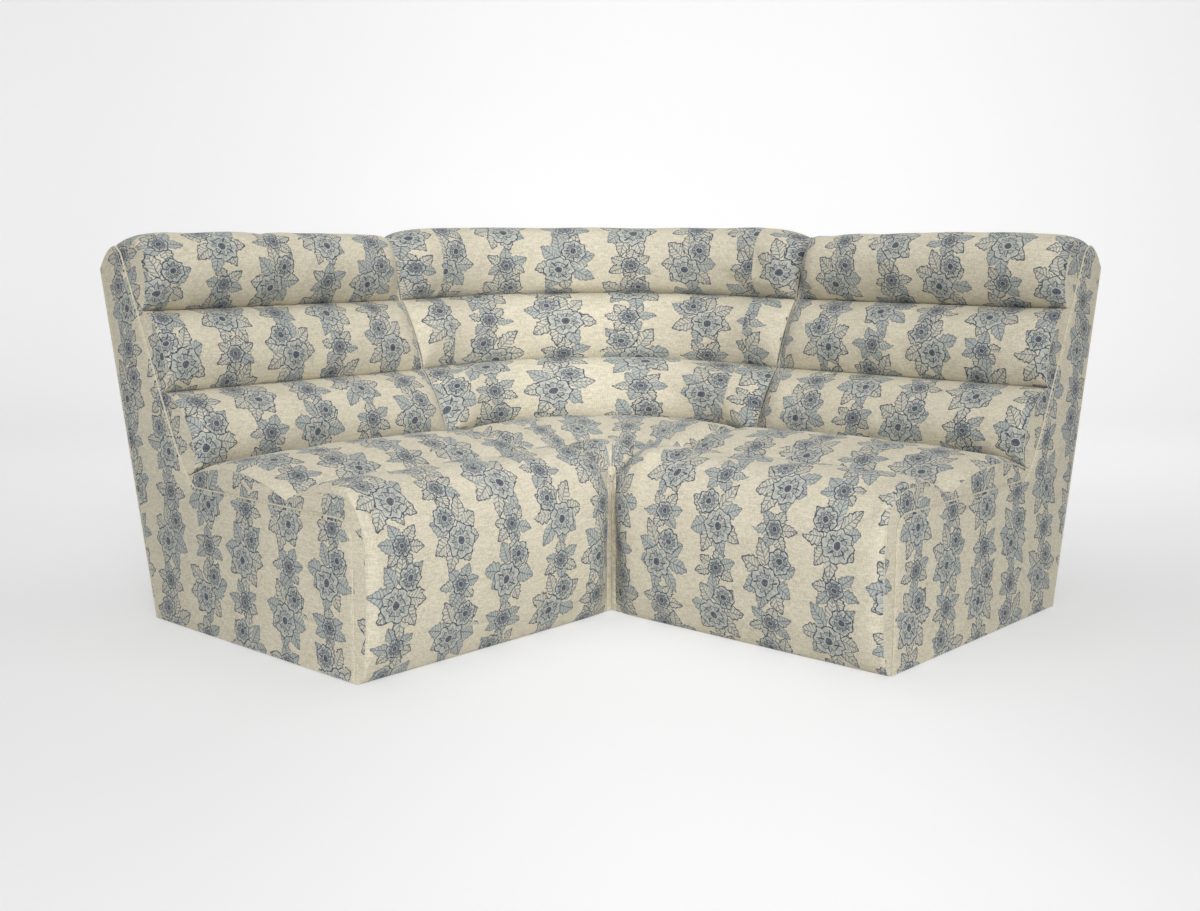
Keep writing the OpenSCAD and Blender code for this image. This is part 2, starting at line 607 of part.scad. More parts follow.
// Piping: a round cord round the edge of a side panel, open at the floor
cord_out = piping_r + soft_gap;
function unit(v) = v / norm(v);
function edge_normal(a, b) = let (d = unit(b - a)) [-d[1], d[0]];
function cord_path() = let (o = panel_outline(), n = len(o))
  [for (i = [0:n - 1]) let (
      before = i > 0 ? edge_normal(o[i - 1], o[i]) : edge_normal(o[0], o[1]),
      after = i < n - 1 ? edge_normal(o[i], o[i + 1]) : edge_normal(o[n - 2], o[n - 1]),
      side = unit(before + after), stretch = cord_out / max(side * before, 1 / 2))
    each [[o[i] + side * stretch, side]]];
module cord(path, w) {
  rings = [for (c = path) [for (k = [0:piping_sides - 1])
    let (q = -360 * k / piping_sides, p = c[0] + c[1] * piping_r * cos(q))
    [w + piping_r * sin(q), p[0], p[1]]]];
  ring_mesh(rings, 0);
}
// The inner cords of the two straight modules clear each other at the crease
inner_cord_w = cord_out + (piping_r + soft_gap) / diagonal_share;
module piping() color("cornsilk") {
  cord(cord_path(), inner_cord_w);
  cord(cord_path(), module_w - piping_r);
}

// Straight module: what is under the base

dust_edge = glide_inset / 2;
module dust_cover() color("black")
  block([hardware_w + 2 * soft_gap, glide_w1 - glide_r - 2 * soft_gap],
    [board_t + dust_edge, frame_t1 - dust_edge], [rail_z - dust_t, rail_z]);

glide_rim_share = 0.85;
module glide(w, t) translate([w, t, 0]) rotate_extrude($fn = circle_facets)
  polygon([[0, 0], [glide_r * glide_rim_share, 0], [glide_r, glide_h / 4], [glide_r, glide_h],
    [glide_pin_r, glide_h], [glide_pin_r, glide_h + glide_pin_l], [0, glide_h + glide_pin_l]]);
module glides() color("dimgray")
  for (w = [glide_w0, glide_w1], t = [glide_front_t, glide_back_t]) glide(w, t);

tongue_z = rail_z - soft_gap - tongue_t;
module connector_tongues() color("silver")
  for (t = connector_places) difference() {
    block([-tongue_reach, hardware_w], [t - tongue_w / 2, t + tongue_w / 2],
      [tongue_z, tongue_z + tongue_t]);
    for (w = tongue_screws) translate([w, t, tongue_z - overrun])
      cylinder(r = screw_r + hole_clearance, h = tongue_t + 2 * overrun, $fn = circle_facets);
  }

// A pan-head screw from below, and a frame bolt from the inside
module screw(w, t, z) translate([w, t, z]) {
  translate([0, 0, -screw_r]) cylinder(r = screw_head_r, h = screw_r, $fn = circle_facets);
  cylinder(r = screw_r, h = rail_z + screw_l - z, $fn = circle_facets);
}
bolt_head_r = 2 * bolt_r;
bolt_l = upright_t + seat_rail_t - channel_gap / 2;
module frame_bolt(t, z) translate([inside_w0 + upright_t + seat_rail_t, t, z]) rotate([0, -90, 0]) {
  translate([0, 0, -bolt_r]) cylinder(r = bolt_head_r, h = bolt_r, $fn = circle_facets);
  cylinder(r = bolt_r, h = bolt_l, $fn = circle_facets);
}
module fasteners() color("gray") {
  for (t = connector_places, w = tongue_screws) screw(w, t, tongue_z);
  for (p = bolt_places) {
    frame_bolt(p[0], p[1]);
    translate([inside_w0 + inside_w1, 0, 0]) mirror([1, 0, 0]) frame_bolt(p[0], p[1]);
  }
}

// Corner module: timber

corner_w = [inside_w0, inside_w0 + base_rail_w];
module corner_base_frame() at_crease() color("burlywood") {
  for (m = [0, 1]) mirror([m, 0, 0]) rotate([0, 0, -half_turn]) difference() {
    corner_bar(corner_w[0], corner_w[1], frame_t1, rail_z, rail_top);
    corner_rail_holes();
  }
  intersection() {
    around([[frame_t1 - base_rail_w, rail_z], [frame_t1, rail_z], [frame_t1, rail_top],
      [frame_t1 - base_rail_w, rail_top]]);
    pie(corner_w[1] + glue_gap, rail_z, rail_top);
  }
}

nose_post_w = 2 * base_rail_w;
corner_seat_w = [inside_w0 + upright_t, inside_w0 + base_rail_w];
module corner_seat_frame() at_crease() color("tan") {
  translate([0, inside_w0 / diagonal_share, rail_top + glue_gap])
    linear_extrude(seat_rail_z - rail_top - 2 * glue_gap)
    polygon([[0, 0], [nose_post_w, nose_post_w], [-nose_post_w, nose_post_w]]);
  for (m = [0, 1]) mirror([m, 0, 0]) rotate([0, 0, -half_turn]) difference() {
    corner_bar(corner_seat_w[0], corner_seat_w[1], frame_t1, seat_rail_z, deck_h);
    for (p = bolt_places) along_w(-corner_seat_w[1] - overrun, p[0], p[1], bolt_r + hole_clearance,
      seat_rail_t + 2 * overrun);
  }
  intersection() {
    around([[deck_t1, seat_rail_z], [deck_t1 + seat_rail_t, seat_rail_z], [deck_t1 + seat_rail_t, deck_h],
      [deck_t1, deck_h]]);
    pie(corner_w[1] + glue_gap, seat_rail_z, deck_h);
  }
}

rib_angles = [-34, 0, 34];
module corner_rib(angle) translate([0, arc_centre, 0]) rotate([0, 0, -angle])
  translate([-upright_t / 2, 0, 0]) across(0, upright_t) polygon(arc_section(upright_section(upright_top)));
// The corner's end uprights stand back as far as the arcs do at their inner faces
front_points = 3;
function end_upright_section() = let (section = upright_section(upright_top))
  [for (i = [0:len(section) - 1])
    [arc_depth(section[i][0], i < front_points ? inside_w0 + upright_t : inside_w0), section[i][1]]];
module corner_back_frame() at_crease() color("burlywood") {
  for (m = [0, 1]) mirror([m, 0, 0]) rotate([0, 0, -half_turn]) difference() {
    across(-inside_w0 - upright_t, -inside_w0) polygon(end_upright_section());
    for (p = bolt_places) along_w(-inside_w0 - upright_t - overrun, p[0], p[1],
      bolt_r + hole_clearance, upright_t + 2 * overrun);
  }
  for (a = rib_angles) difference() {
    corner_rib(a);
    translate([0, arc_centre, 0]) cylinder(r = arc_r(frame_t1 - base_rail_w), h = deck_h,
      $fn = circle_facets * 3);
  }
  intersection() { around(top_rail_section); pie(inside_w0, top_rail_z, back_top_h); }
}

// Corner module: webbing, foam and covers

module corner_seat_webbing() at_crease() color("dimgray") {
  reach = arc_centre + crease_r - strap_w;
  pitch = (reach - nose_post_w * 2) / (seat_straps - 1);
  for (i = [0:seat_straps - 1]) intersection() {
    translate([-pie_side / 2, nose_post_w * 2 + i * pitch - strap_w / 2, deck_h])
      cube([pie_side, strap_w, strap_t]);
    pie(corner_seat_w[0], deck_h, deck_h + strap_t);
    translate([0, arc_centre, deck_h]) cylinder(r = arc_r(deck_t1 + seat_rail_t), h = strap_t,
      $fn = circle_facets * 3);
  }
  for (i = [0:long_straps - 1]) intersection() {
    translate([(i - (long_straps - 1) / 2) * 2 * strap_w - strap_w / 2, 0, deck_h + strap_t])
      cube([strap_w, pie_side, strap_t]);
    pie(corner_seat_w[0], deck_h + strap_t, deck_h + 2 * strap_t);
    translate([0, arc_centre, deck_h + strap_t]) cylinder(r = arc_r(deck_t1 + seat_rail_t), h = strap_t,
      $fn = circle_facets * 3);
  }
}

module corner_seat_core() at_crease() color("khaki") intersection() {
  pie(corner_inset, core_z, core_top);
  translate([0, arc_centre, core_z]) cylinder(r = arc_r(deck_t1), h = core_top - core_z,
    $fn = circle_facets * 3);
}

module corner_back_core() at_crease() color("khaki")
  intersection() { around(core_section); pie(corner_inset, 0, top_h); }
module corner_back_webbing() at_crease() color("dimgray")
  for (i = [0:back_straps - 1])
    intersection() { around(strap_section(i)); pie(corner_inset, 0, top_h); }

module corner_seat_front() at_crease() color("wheat")
  corner_seat_pad(tip_face(), tip_rest(), tip_base);
module corner_seat_rear() at_crease() color("wheat")
  corner_seat_pad(rear_face(), rear_rest(), rear_base);
module corner_back_roll_lower() at_crease() color("wheat")
  corner_roll(roll_face(lower_s[0], lower_s[1], lower_bulge, lower_skew_share),
    roll_rest(lower_s[0], lower_s[1]), roll_base(lower_s[0], lower_s[1]));
module corner_back_roll_middle() at_crease() color("wheat")
  corner_roll(roll_face(middle_s[0], middle_s[1], middle_bulge, 0),
    roll_rest(middle_s[0], middle_s[1]), roll_base(middle_s[0], middle_s[1]));
module corner_back_roll_upper() at_crease() color("wheat")
  corner_roll(upper_face(), upper_rest(), upper_base);

module corner_panel() intersection() {
  notched_panel(-inside_w0, -joint_half);
  translate([0, 0, floor_gap - overrun]) linear_extrude(top_h)
    polygon([[-joint_half, 2 * joint_half], [-inside_w0, inside_w0 + joint_half], [-inside_w0, pie_side],
      [-joint_half, pie_side]]);
}
module corner_side_panel_left() color("lightsteelblue") left_side() corner_panel();
module corner_side_panel_right() color("lightsteelblue") right_side() corner_panel();

module corner_back_panel() at_crease() color("lightsteelblue")
  intersection() { around(back_panel_section); pie(inside_w0, 0, top_h); }

// The corner's piping stops short of the crease
cord_skip = curve_steps + 2;
function corner_cord_path() = let (path = cord_path()) [for (i = [cord_skip:len(path) - 1]) path[i]];
module corner_piping() color("cornsilk") both_sides() cord(corner_cord_path(), -joint_half - piping_r);

// Corner module: what is under the base

module corner_dust_cover() at_crease() color("black") intersection() {
  pie(hardware_w + 2 * soft_gap, rail_z - dust_t, rail_z);
  translate([0, arc_centre, 0]) cylinder(r = arc_r(frame_t1 - dust_edge), h = rail_z,
    $fn = circle_facets * 3);
}

module corner_glides() color("dimgray") both_sides()
  for (t = [corner_glide_t, glide_back_t]) glide(-glide_w0, t);

jaw_z = tongue_z - jaw_clearance - jaw_t;
jaw_section = [[-jaw_leg - jaw_t - jaw_flange, rail_z - jaw_t], [-jaw_leg - jaw_t, rail_z - jaw_t],
  [-jaw_leg - jaw_t, jaw_z], [jaw_leg + jaw_t, jaw_z], [jaw_leg + jaw_t, rail_z - jaw_t],
  [jaw_leg + jaw_t + jaw_flange, rail_z - jaw_t], [jaw_leg + jaw_t + jaw_flange, rail_z],
  [jaw_leg, rail_z], [jaw_leg, jaw_z + jaw_t], [-jaw_leg, jaw_z + jaw_t], [-jaw_leg, rail_z],
  [-jaw_leg - jaw_t - jaw_flange, rail_z]];
module connector_jaw(t) difference() {
  translate([0, t, 0]) across(-hardware_w, -joint_half) polygon(jaw_section);
  for (s = [-1, 1]) translate([-jaw_screw_w, t + s * jaw_screw_t, rail_z - jaw_t - overrun])
    cylinder(r = screw_r + hole_clearance, h = jaw_t + 2 * overrun, $fn = circle_facets);
}
module corner_connector_jaws() color("silver") both_sides() for (t = connector_places) connector_jaw(t);

module corner_fasteners() color("gray") both_sides() {
  for (t = connector_places, s = [-1, 1]) screw(-jaw_screw_w, t + s * jaw_screw_t, rail_z - jaw_t);
  for (p = bolt_places) mirror([1, 0, 0]) frame_bolt(p[0], p[1]);
}

corner_base_frame();
corner_seat_frame();
corner_seat_webbing();
corner_seat_core();
corner_seat_front();
corner_seat_rear();
corner_back_frame();
corner_back_webbing();
corner_back_core();
corner_back_roll_lower();
corner_back_roll_middle();
corner_back_roll_upper();
corner_side_panel_left();
corner_side_panel_right();
corner_back_panel();
corner_piping();
corner_dust_cover();
corner_glides();
corner_connector_jaws();
corner_fasteners();
left_side() base_frame();  // left_base_frame
left_side() seat_frame();  // left_seat_frame
left_side() seat_webbing();  // left_seat_webbing
left_side() seat_core();  // left_seat_core
left_side() seat_front();  // left_seat_front
left_side() seat_rear();  // left_seat_rear
left_side() back_frame();  // left_back_frame
left_side() back_webbing();  // left_back_webbing
left_side() back_core();  // left_back_core
left_side() back_roll_lower();  // left_back_roll_lower
left_side() back_roll_middle();  // left_back_roll_middle
left_side() back_roll_upper();  // left_back_roll_upper
left_side() side_panel_inner();  // left_side_panel_inner
left_side() side_panel_outer();  // left_side_panel_outer
left_side() back_panel();  // left_back_panel
left_side() piping();  // left_piping
left_side() dust_cover();  // left_dust_cover
left_side() glides();  // left_glides
left_side() connector_tongues();  // left_connector_tongues
left_side() fasteners();  // left_fasteners
right_side() base_frame();  // right_base_frame
right_side() seat_frame();  // right_seat_frame
right_side() seat_webbing();  // right_seat_webbing
right_side() seat_core();  // right_seat_core
right_side() seat_front();  // right_seat_front
right_side() seat_rear();  // right_seat_rear
right_side() back_frame();  // right_back_frame
right_side() back_webbing();  // right_back_webbing
right_side() back_core();  // right_back_core
right_side() back_roll_lower();  // right_back_roll_lower
right_side() back_roll_middle();  // right_back_roll_middle
right_side() back_roll_upper();  // right_back_roll_upper
right_side() side_panel_inner();  // right_side_panel_inner
right_side() side_panel_outer();  // right_side_panel_outer
right_side() back_panel();  // right_back_panel
right_side() piping();  // right_piping
right_side() dust_cover();  // right_dust_cover
right_side() glides();  // right_glides
right_side() connector_tongues();  // right_connector_tongues
right_side() fasteners();  // right_fasteners
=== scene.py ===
"""Looks of a modular corner sofa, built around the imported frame.

Lengths are in metres. A place in a module is given by its width w, its depth t and its height z:
w runs out from the joint plane, and t runs back from the crease, the upright line where the fronts
of the two straight modules meet. The corner module lies at negative w of both joint planes.
"""
import json
import math

import bmesh
import bpy
import numpy as np
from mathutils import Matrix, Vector


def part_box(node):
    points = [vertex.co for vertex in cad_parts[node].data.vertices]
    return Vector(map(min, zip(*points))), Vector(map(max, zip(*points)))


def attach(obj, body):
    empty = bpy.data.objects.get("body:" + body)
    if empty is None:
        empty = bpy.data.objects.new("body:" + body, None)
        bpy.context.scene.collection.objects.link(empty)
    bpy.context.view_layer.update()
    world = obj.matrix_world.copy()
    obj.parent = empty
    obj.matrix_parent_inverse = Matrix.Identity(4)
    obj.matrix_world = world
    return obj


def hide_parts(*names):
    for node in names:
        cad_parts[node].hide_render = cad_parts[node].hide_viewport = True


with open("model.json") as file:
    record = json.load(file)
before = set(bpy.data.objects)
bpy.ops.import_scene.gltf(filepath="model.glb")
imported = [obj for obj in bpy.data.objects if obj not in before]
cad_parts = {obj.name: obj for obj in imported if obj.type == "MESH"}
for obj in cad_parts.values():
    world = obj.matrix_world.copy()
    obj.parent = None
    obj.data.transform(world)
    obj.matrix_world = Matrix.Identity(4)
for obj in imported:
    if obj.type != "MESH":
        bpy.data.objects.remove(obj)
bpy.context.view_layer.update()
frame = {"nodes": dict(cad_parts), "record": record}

DIAGONAL = math.sqrt(0.5)

# Modules and side panels
MODULE_W = 0.776
JOINT_HALF = 0.0003
PANEL_T = 0.018
INSIDE_W0 = JOINT_HALF + PANEL_T
INSIDE_W1 = MODULE_W - PANEL_T
ARC_CENTRE = 0.268
SEAM_H = 0.335
PANEL_CORNER_R = 0.038
PANEL_EDGE_R = 0.0035
FLOOR_GAP = 0.0015
SOFT_GAP = 0.0003
CHANNEL_GAP = 0.0015
PAD_BASE = 0.010
BOARD_T = 0.015
# Where covers end: seats and rolls from the joint plane, and all of them from the free side
COVER_END = INSIDE_W0 + SOFT_GAP
ROLL_END = 0.0045
FREE_END = 0.0075
CORD_R = 0.0019
RAIL_STEP = 0.025

# Seat
VALLEY = np.array([0.215, 0.345])
CREST = np.array([0.050, 0.399])
NOSE_OUT = 0.050
NOSE_H = 0.250
CREASE = np.array([0.590, 0.360])
SEAT_CROWN = 0.014

# Back
RAKE = math.radians(25.3)
UP_RAKE = np.array([math.sin(RAKE), math.cos(RAKE)])
OFF_RAKE = np.array([-math.cos(RAKE), math.sin(RAKE)])
ROLL_PITCH = 0.199
LOWER_BULGE = 0.075
MIDDLE_BULGE = 0.054
UPPER_BULGE = 0.060
UPPER_RISE = 0.1704
TOP_SETBACK = 0.024
TOP_DROP = 0.077
TOP_DEPTH = 0.134
BACK_FOOT = 0.152
ROLL_CROWN = 0.007


def rake_point(s, out):
    """A point on the raked back: s up along the rake from the crease, out in front of it."""
    return CREASE + UP_RAKE * s + OFF_RAKE * out


UPPER_S0 = 2 * ROLL_PITCH + CHANNEL_GAP / 2
UPPER_START = rake_point(UPPER_S0, 0)
UPPER_TOP = UPPER_START + np.array([TOP_SETBACK, UPPER_RISE])
BACK_TOP = np.array([UPPER_TOP[0] + TOP_DEPTH, UPPER_TOP[1] - TOP_DROP])
PANEL_D = CREASE[0] + BACK_FOOT
CREASE_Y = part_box("right_side_panel_inner")[0].y + DIAGONAL * INSIDE_W0


def rake_at(z, out):
    foot = rake_point(0, out)
    return np.array([foot[0] + (z - foot[1]) * math.tan(RAKE), z])


def outside_t(z, inwards=0.0):
    return PANEL_D + (BACK_TOP[0] - PANEL_D) * z / BACK_TOP[1] - inwards


# Profiles in depth and height

def cubic(p, a, b, q, n=24):
    u = np.linspace(0, 1, n)[:, None]
    return p * (1 - u) ** 3 + 3 * a * (1 - u) ** 2 * u + 3 * b * (1 - u) * u * u + q * u ** 3


def share_cubic(p, q, a_share, b_share):
    """A curve from p to q whose control points are shares of the step between them."""
    p, q = np.array(p), np.array(q)
    return cubic(p, p + (q - p) * np.array(a_share), p + (q - p) * np.array(b_share), q)


def chained(*curves):
    return np.vstack([curves[0]] + [c[1:] for c in curves[1:]])


def lengths(points):
    """Distance along a line of points, from its first."""
    return np.concatenate([[0], np.cumsum(np.linalg.norm(np.diff(points, axis=0), axis=1))])


def resampled(points, n):
    s = lengths(points)
    at = np.linspace(0, s[-1], n)
    return np.stack([np.interp(at, s, points[:, k]) for k in range(points.shape[1])], axis=1)


def smooth_step(q):
    """0 up to 0, 1 from 1 on, smooth between."""
    q = np.clip(q, 0, 1)
    return q * q * (3 - 2 * q)


FRONT_START = VALLEY - [CHANNEL_GAP / 2, 0]
FRONT_TOE = np.array([-NOSE_OUT / 5, FLOOR_GAP + CHANNEL_GAP / 2])
NOSE = np.array([-NOSE_OUT, NOSE_H])
REAR_START = VALLEY + [CHANNEL_GAP / 2, 0]
REAR_END = CREASE - [CHANNEL_GAP / 2, 2 * CHANNEL_GAP]
CORE_TOP = SEAM_H
# Share of its filling that the top of the front pad keeps at the joint
TOP_KEPT = 0.62
BROW_REACH = 0.055


def front_profile():
    top = share_cubic(FRONT_START, CREST, (0.18, 0.61), (0.58, 1))
    brow = share_cubic(CREST, NOSE, (0.55, 0), (0.98, 0.46))
    fall = share_cubic(NOSE, FRONT_TOE, (-0.04, 0.33), (0.11, 0.92))
    return chained(top, brow, fall)[::-1]


def front_rest(face):
    """Where the front cover would lie with no filling."""
    rest_t = -2 * SOFT_GAP
    flat = CORE_TOP + PAD_BASE / 2
    sloped = np.minimum(face[:, 1], flat + face[:, 0] / VALLEY[0] * (VALLEY[1] - flat))
    upright = np.minimum(face[:, 1], flat)
    behind = face[:, 0] > rest_t
    return np.stack([np.where(behind, face[:, 0], rest_t - PAD_BASE / 4),
                     np.where(behind, sloped, upright)], axis=1)


def front_joint_rest(face):
    """The same at the joint, where the top keeps some of its filling behind the brow."""
    rest = front_rest(face)
    keep = TOP_KEPT * smooth_step((face[:, 0] - PANEL_T) / BROW_REACH)
    return rest + (face - rest) * keep[:, None]


def arch(start, end, rise, power, skew=0.0, n=48):
    """An arch over the line from start to end; rise is a vector."""
    q = np.linspace(0, math.pi, n)
    along = (1 - np.cos(q)) / 2 - skew * np.sin(q)
    return start + np.outer(along, end - start) + np.outer(np.sin(q) ** power, rise)


def rear_profile():
    rise = CREST[1] - (VALLEY[1] + CREASE[1]) / 2
    return arch(REAR_START, REAR_END, np.array([0, rise]), 2)


def dropped(face, start, end):
    """The points of a face dropped onto the line from start to end."""
    step = (end - start) / np.dot(end - start, end - start)
    return start + np.outer(np.clip((face - start) @ step, 0, 1), end - start)


def tip_profile():
    start = np.array([TIP_T, CORE_TOP - PAD_BASE])
    crest = CREST + [TIP_T, 0]
    top = share_cubic(FRONT_START, crest, (0.18, 0.61), (0.58, 1))
    return chained(share_cubic(start, crest, (0.02, 0.55), (0.3, 1)), top[::-1])


def tip_rest(face):
    return np.stack([face[:, 0], np.minimum(face[:, 1], CORE_TOP + PAD_BASE / 2)], axis=1)


def upper_profile():
    rise = UPPER_TOP[1] - UPPER_START[1]
    a = UPPER_START + [-1.4 * UPPER_BULGE, 0.19 * rise]
    b = UPPER_START + [-1.03 * UPPER_BULGE, 1.02 * rise]
    end = BACK_TOP + [0, PAD_BASE / 2]
    return chained(cubic(UPPER_START, a, b, UPPER_TOP, 40),
                   share_cubic(UPPER_TOP, end, (0.63, 0), (0.9, 0.58)))


UPPER_BASE = [BACK_TOP + [-BOARD_T, SOFT_GAP], rake_at(BACK_TOP[1] + SOFT_GAP, -PAD_BASE),
              rake_point(UPPER_S0, -PAD_BASE)]
# How far the top of the upper roll is drawn down at its two ends
JOINT_SLACK = 0.1
FREE_SLACK = 0.80


def upper_rest(face, slack):
    """The upper roll drawn back to the rake line and, by slack, down to the panel's top."""
    centre, end_z = UPPER_BASE[1], BACK_TOP[1] + PAD_BASE / 2
    slack = np.clip((face[:, 1] - end_z) / (UPPER_TOP[1] - end_z), 0, 1) * slack
    rest = centre + (face - centre) * (1 - slack)[:, None]
    return np.stack([np.maximum(rest[:, 0], rake_at(rest[:, 1], 0)[0]), rest[:, 1]], axis=1)


# The corner's arcs

ARC_ROOT = ARC_CENTRE * DIAGONAL


def arc_r(t):
    return np.sqrt(t * t - 2 * ARC_ROOT * t + ARC_CENTRE * ARC_CENTRE)


def arc_end(t, inset):
    """Half angle of the arc through depth t, up to a distance inset inside the joint plane."""
    at = ARC_ROOT + np.sqrt((t - ARC_ROOT) ** 2 - inset * inset + 2 * inset * ARC_ROOT)
    return np.arctan2(DIAGONAL * (at - inset), DIAGONAL * (at + inset) - ARC_CENTRE)


CREASE_R = arc_r(CREASE[0])
CREASE_REACH = (ARC_CENTRE + CREASE_R) / CREASE[0]
TIP_T = COVER_END / (DIAGONAL * CREASE_REACH) + PAD_BASE / 4


def fan_end(t, inset):
    """Half angle of a seat channel at depth t: the crease's arc drawn smaller."""
    share = (inset * CREASE[0] / (DIAGONAL * t) - ARC_CENTRE) / (CREASE_R * math.sqrt(2))
    return np.arccos(np.minimum(1, share)) - math.pi / 4


def on_arc(t, z, turn, inset=ROLL_END):
    """Points on the corner's back: turn runs from -1 at the left joint to 1 at the right one."""
    t, z, turn = np.broadcast_arrays(t, z, turn)
    angle = turn * arc_end(t, inset)
    return np.stack([arc_r(t) * np.sin(angle), CREASE_Y + ARC_CENTRE + arc_r(t) * np.cos(angle), z], axis=-1)


def on_fan(t, z, turn):
    """Points on the corner's seat."""
    t, z, turn = np.broadcast_arrays(t, z, turn)
    angle = turn * fan_end(t, COVER_END)
    size = t / CREASE[0]
    return np.stack([CREASE_R * np.sin(angle) * size,
                     CREASE_Y + (ARC_CENTRE + CREASE_R * np.cos(angle)) * size, z], axis=-1)


def in_module(side, w, t, z):
    """Points of the right module (side 1) or the left one (side -1)."""
    w, t, z = np.broadcast_arrays(w, t, z)
    return np.stack([side * DIAGONAL * (w + t), CREASE_Y + DIAGONAL * (t - w), z], axis=-1)


# Outline of a side panel, from the toe over the top and down the back

def panel_outline():
    corner = [[PANEL_CORNER_R * (1 - math.cos(q)), SEAM_H - PANEL_CORNER_R * (1 - math.sin(q))]
              for q in np.linspace(0, math.pi / 2, 16)]
    step = np.array([CREASE[0] - RAIL_STEP - BOARD_T / 2, SEAM_H])
    middle = rake_at(SEAM_H + ROLL_PITCH * 3 / 4, -PAD_BASE)
    head = rake_at(UPPER_TOP[1] - ROLL_PITCH / 5, -PAD_BASE / 2)
    crown = np.array([head[0] + PANEL_T * 3 / 2, UPPER_TOP[1] - PANEL_CORNER_R * 2 / 3])
    nape = BACK_TOP + [-RAIL_STEP / 2, BOARD_T]
    parts = [[[0, FLOOR_GAP]], corner, share_cubic(step, middle, (0.35, 0.1), (0.76, 0.64)), [head],
             share_cubic(head, crown, (0.3, 0.55), (0.6, 1))[1:],
             share_cubic(crown, nape, (0.35, 0.05), (0.8, 0.6))[1:],
             [BACK_TOP, [outside_t(FLOOR_GAP), FLOOR_GAP]]]
    return np.vstack([np.array(p, float) for p in parts])


def densified(points, step):
    """The same line with no piece longer than step."""
    out = [points[0]]
    for p, q in zip(points[:-1], points[1:]):
        n = max(1, math.ceil(np.linalg.norm(q - p) / step))
        out += [p + (q - p) * k / n for k in range(1, n + 1)]
    return np.array(out)


def left_normals(points):
    """Unit normals to the left of an open line's direction."""
    d = np.gradient(points, axis=0)
    d /= np.linalg.norm(d, axis=1)[:, None]
    return np.stack([-d[:, 1], d[:, 0]], axis=1)


OUTLINE = densified(panel_outline(), 0.012)


def nearest_index(points, p):
    return int(np.argmin(np.linalg.norm(points - p, axis=1)))


def outline_between(start, end):
    """The stretch of the outline that lies beside a pad whose face runs from start to end."""
    i, j = nearest_index(OUTLINE, start), nearest_index(OUTLINE, end)
    return OUTLINE[i:j + 1]


# Meshes

SHARP_ANGLE = 50
SIDE_NAMES = {-1: "left", 1: "right"}


def placed(name, data):
    """A new object in the scene."""
    obj = bpy.data.objects.new(name, data)
    bpy.context.scene.collection.objects.link(obj)
    return obj


def turn_outwards(mesh):
    shape = bmesh.new()
    shape.from_mesh(mesh)
    if shape.calc_volume(signed=True) < 0:
        bmesh.ops.reverse_faces(shape, faces=shape.faces)
        shape.to_mesh(mesh)
    shape.free()


def in_steps(grid):
    """The rows of a grid in pairs, one pair for each step from row to row."""
    return np.stack([grid[:-1], grid[1:]], axis=1)


def lofted(name, rings, u_grid, v_grid):
    """A closed mesh through rings of points. Its cloth coordinates are a row per ring, or a pair of rows
    per step between rings, with one more place than a ring has points. One number can stand for a whole
    row, and one row for them all."""
    m, n = rings.shape[:2]
    u, v = (np.broadcast_to(grid if grid.ndim == 3 else in_steps(np.broadcast_to(grid, (m, n + 1))),
                            (m - 1, 2, n + 1)) for grid in (u_grid, v_grid))
    faces, uvs = [], []
    for i in range(m - 1):
        for j in range(n):
            k = (j + 1) % n
            faces.append([i * n + j, i * n + k, (i + 1) * n + k, (i + 1) * n + j])
            uvs.append([(u[i][0][j], v[i][0][j]), (u[i][0][j + 1], v[i][0][j + 1]),
                        (u[i][1][j + 1], v[i][1][j + 1]), (u[i][1][j], v[i][1][j])])
    for i, order in ((0, 1), (m - 1, -1)):
        faces.append([i * n + j for j in range(n)][::-order])
        side = 0 if i == 0 else 1
        step = min(i, m - 2)
        uvs.append([(u[step][side][j], v[step][side][j]) for j in range(n)][::-order])
    mesh = bpy.data.meshes.new(name)
    mesh.from_pydata(rings.reshape(-1, 3).tolist(), [], faces)
    layer = mesh.uv_layers.new(name="fabric")
    layer.data.foreach_set("uv", np.array([uv for face in uvs for uv in face], np.float32).ravel())
    mesh.polygons.foreach_set("use_smooth", [True] * len(faces))
    mesh.set_sharp_from_angle(angle=math.radians(SHARP_ANGLE))
    mesh.validate()
    turn_outwards(mesh)
    return placed(name, mesh)


def waves(seed, count, shortest, longest):
    """A smooth random surface between -1 and 1: a mean of waves of random direction and phase."""
    draw = np.random.default_rng(seed)
    length = draw.uniform(shortest, longest, count)
    angle = draw.uniform(0, math.pi, count)
    phase = draw.uniform(0, 2 * math.pi, count)

    def height(u, v):
        total = 0
        for l, a, p in zip(length, angle, phase):
            total = total + np.sin(2 * math.pi * (u * math.cos(a) + v * math.sin(a)) / l + p)
        return total / count
    return height


# Numbers in node trees

class Num:
    """A number in a node tree, with ordinary arithmetic."""

    def __init__(self, socket):
        self.socket = socket

    def __add__(self, other):
        return calc("ADD", self, other)

    def __radd__(self, other):
        return calc("ADD", other, self)

    def __sub__(self, other):
        return calc("SUBTRACT", self, other)

    def __rsub__(self, other):
        return calc("SUBTRACT", other, self)

    def __mul__(self, other):
        return calc("MULTIPLY", self, other)

    def __rmul__(self, other):
        return calc("MULTIPLY", other, self)

    def __truediv__(self, other):
        return calc("DIVIDE", self, other)


def feed(slot, value):
    """Gives a node's input a number in its tree, a socket or a plain value."""
    if isinstance(value, Num):
        value = value.socket
    if isinstance(value, bpy.types.NodeSocket):
        slot.id_data.links.new(value, slot)
    else:
        slot.default_value = value


def feed_all(node, inputs):
    for key, value in inputs.items():
        feed(node.inputs[key], value)


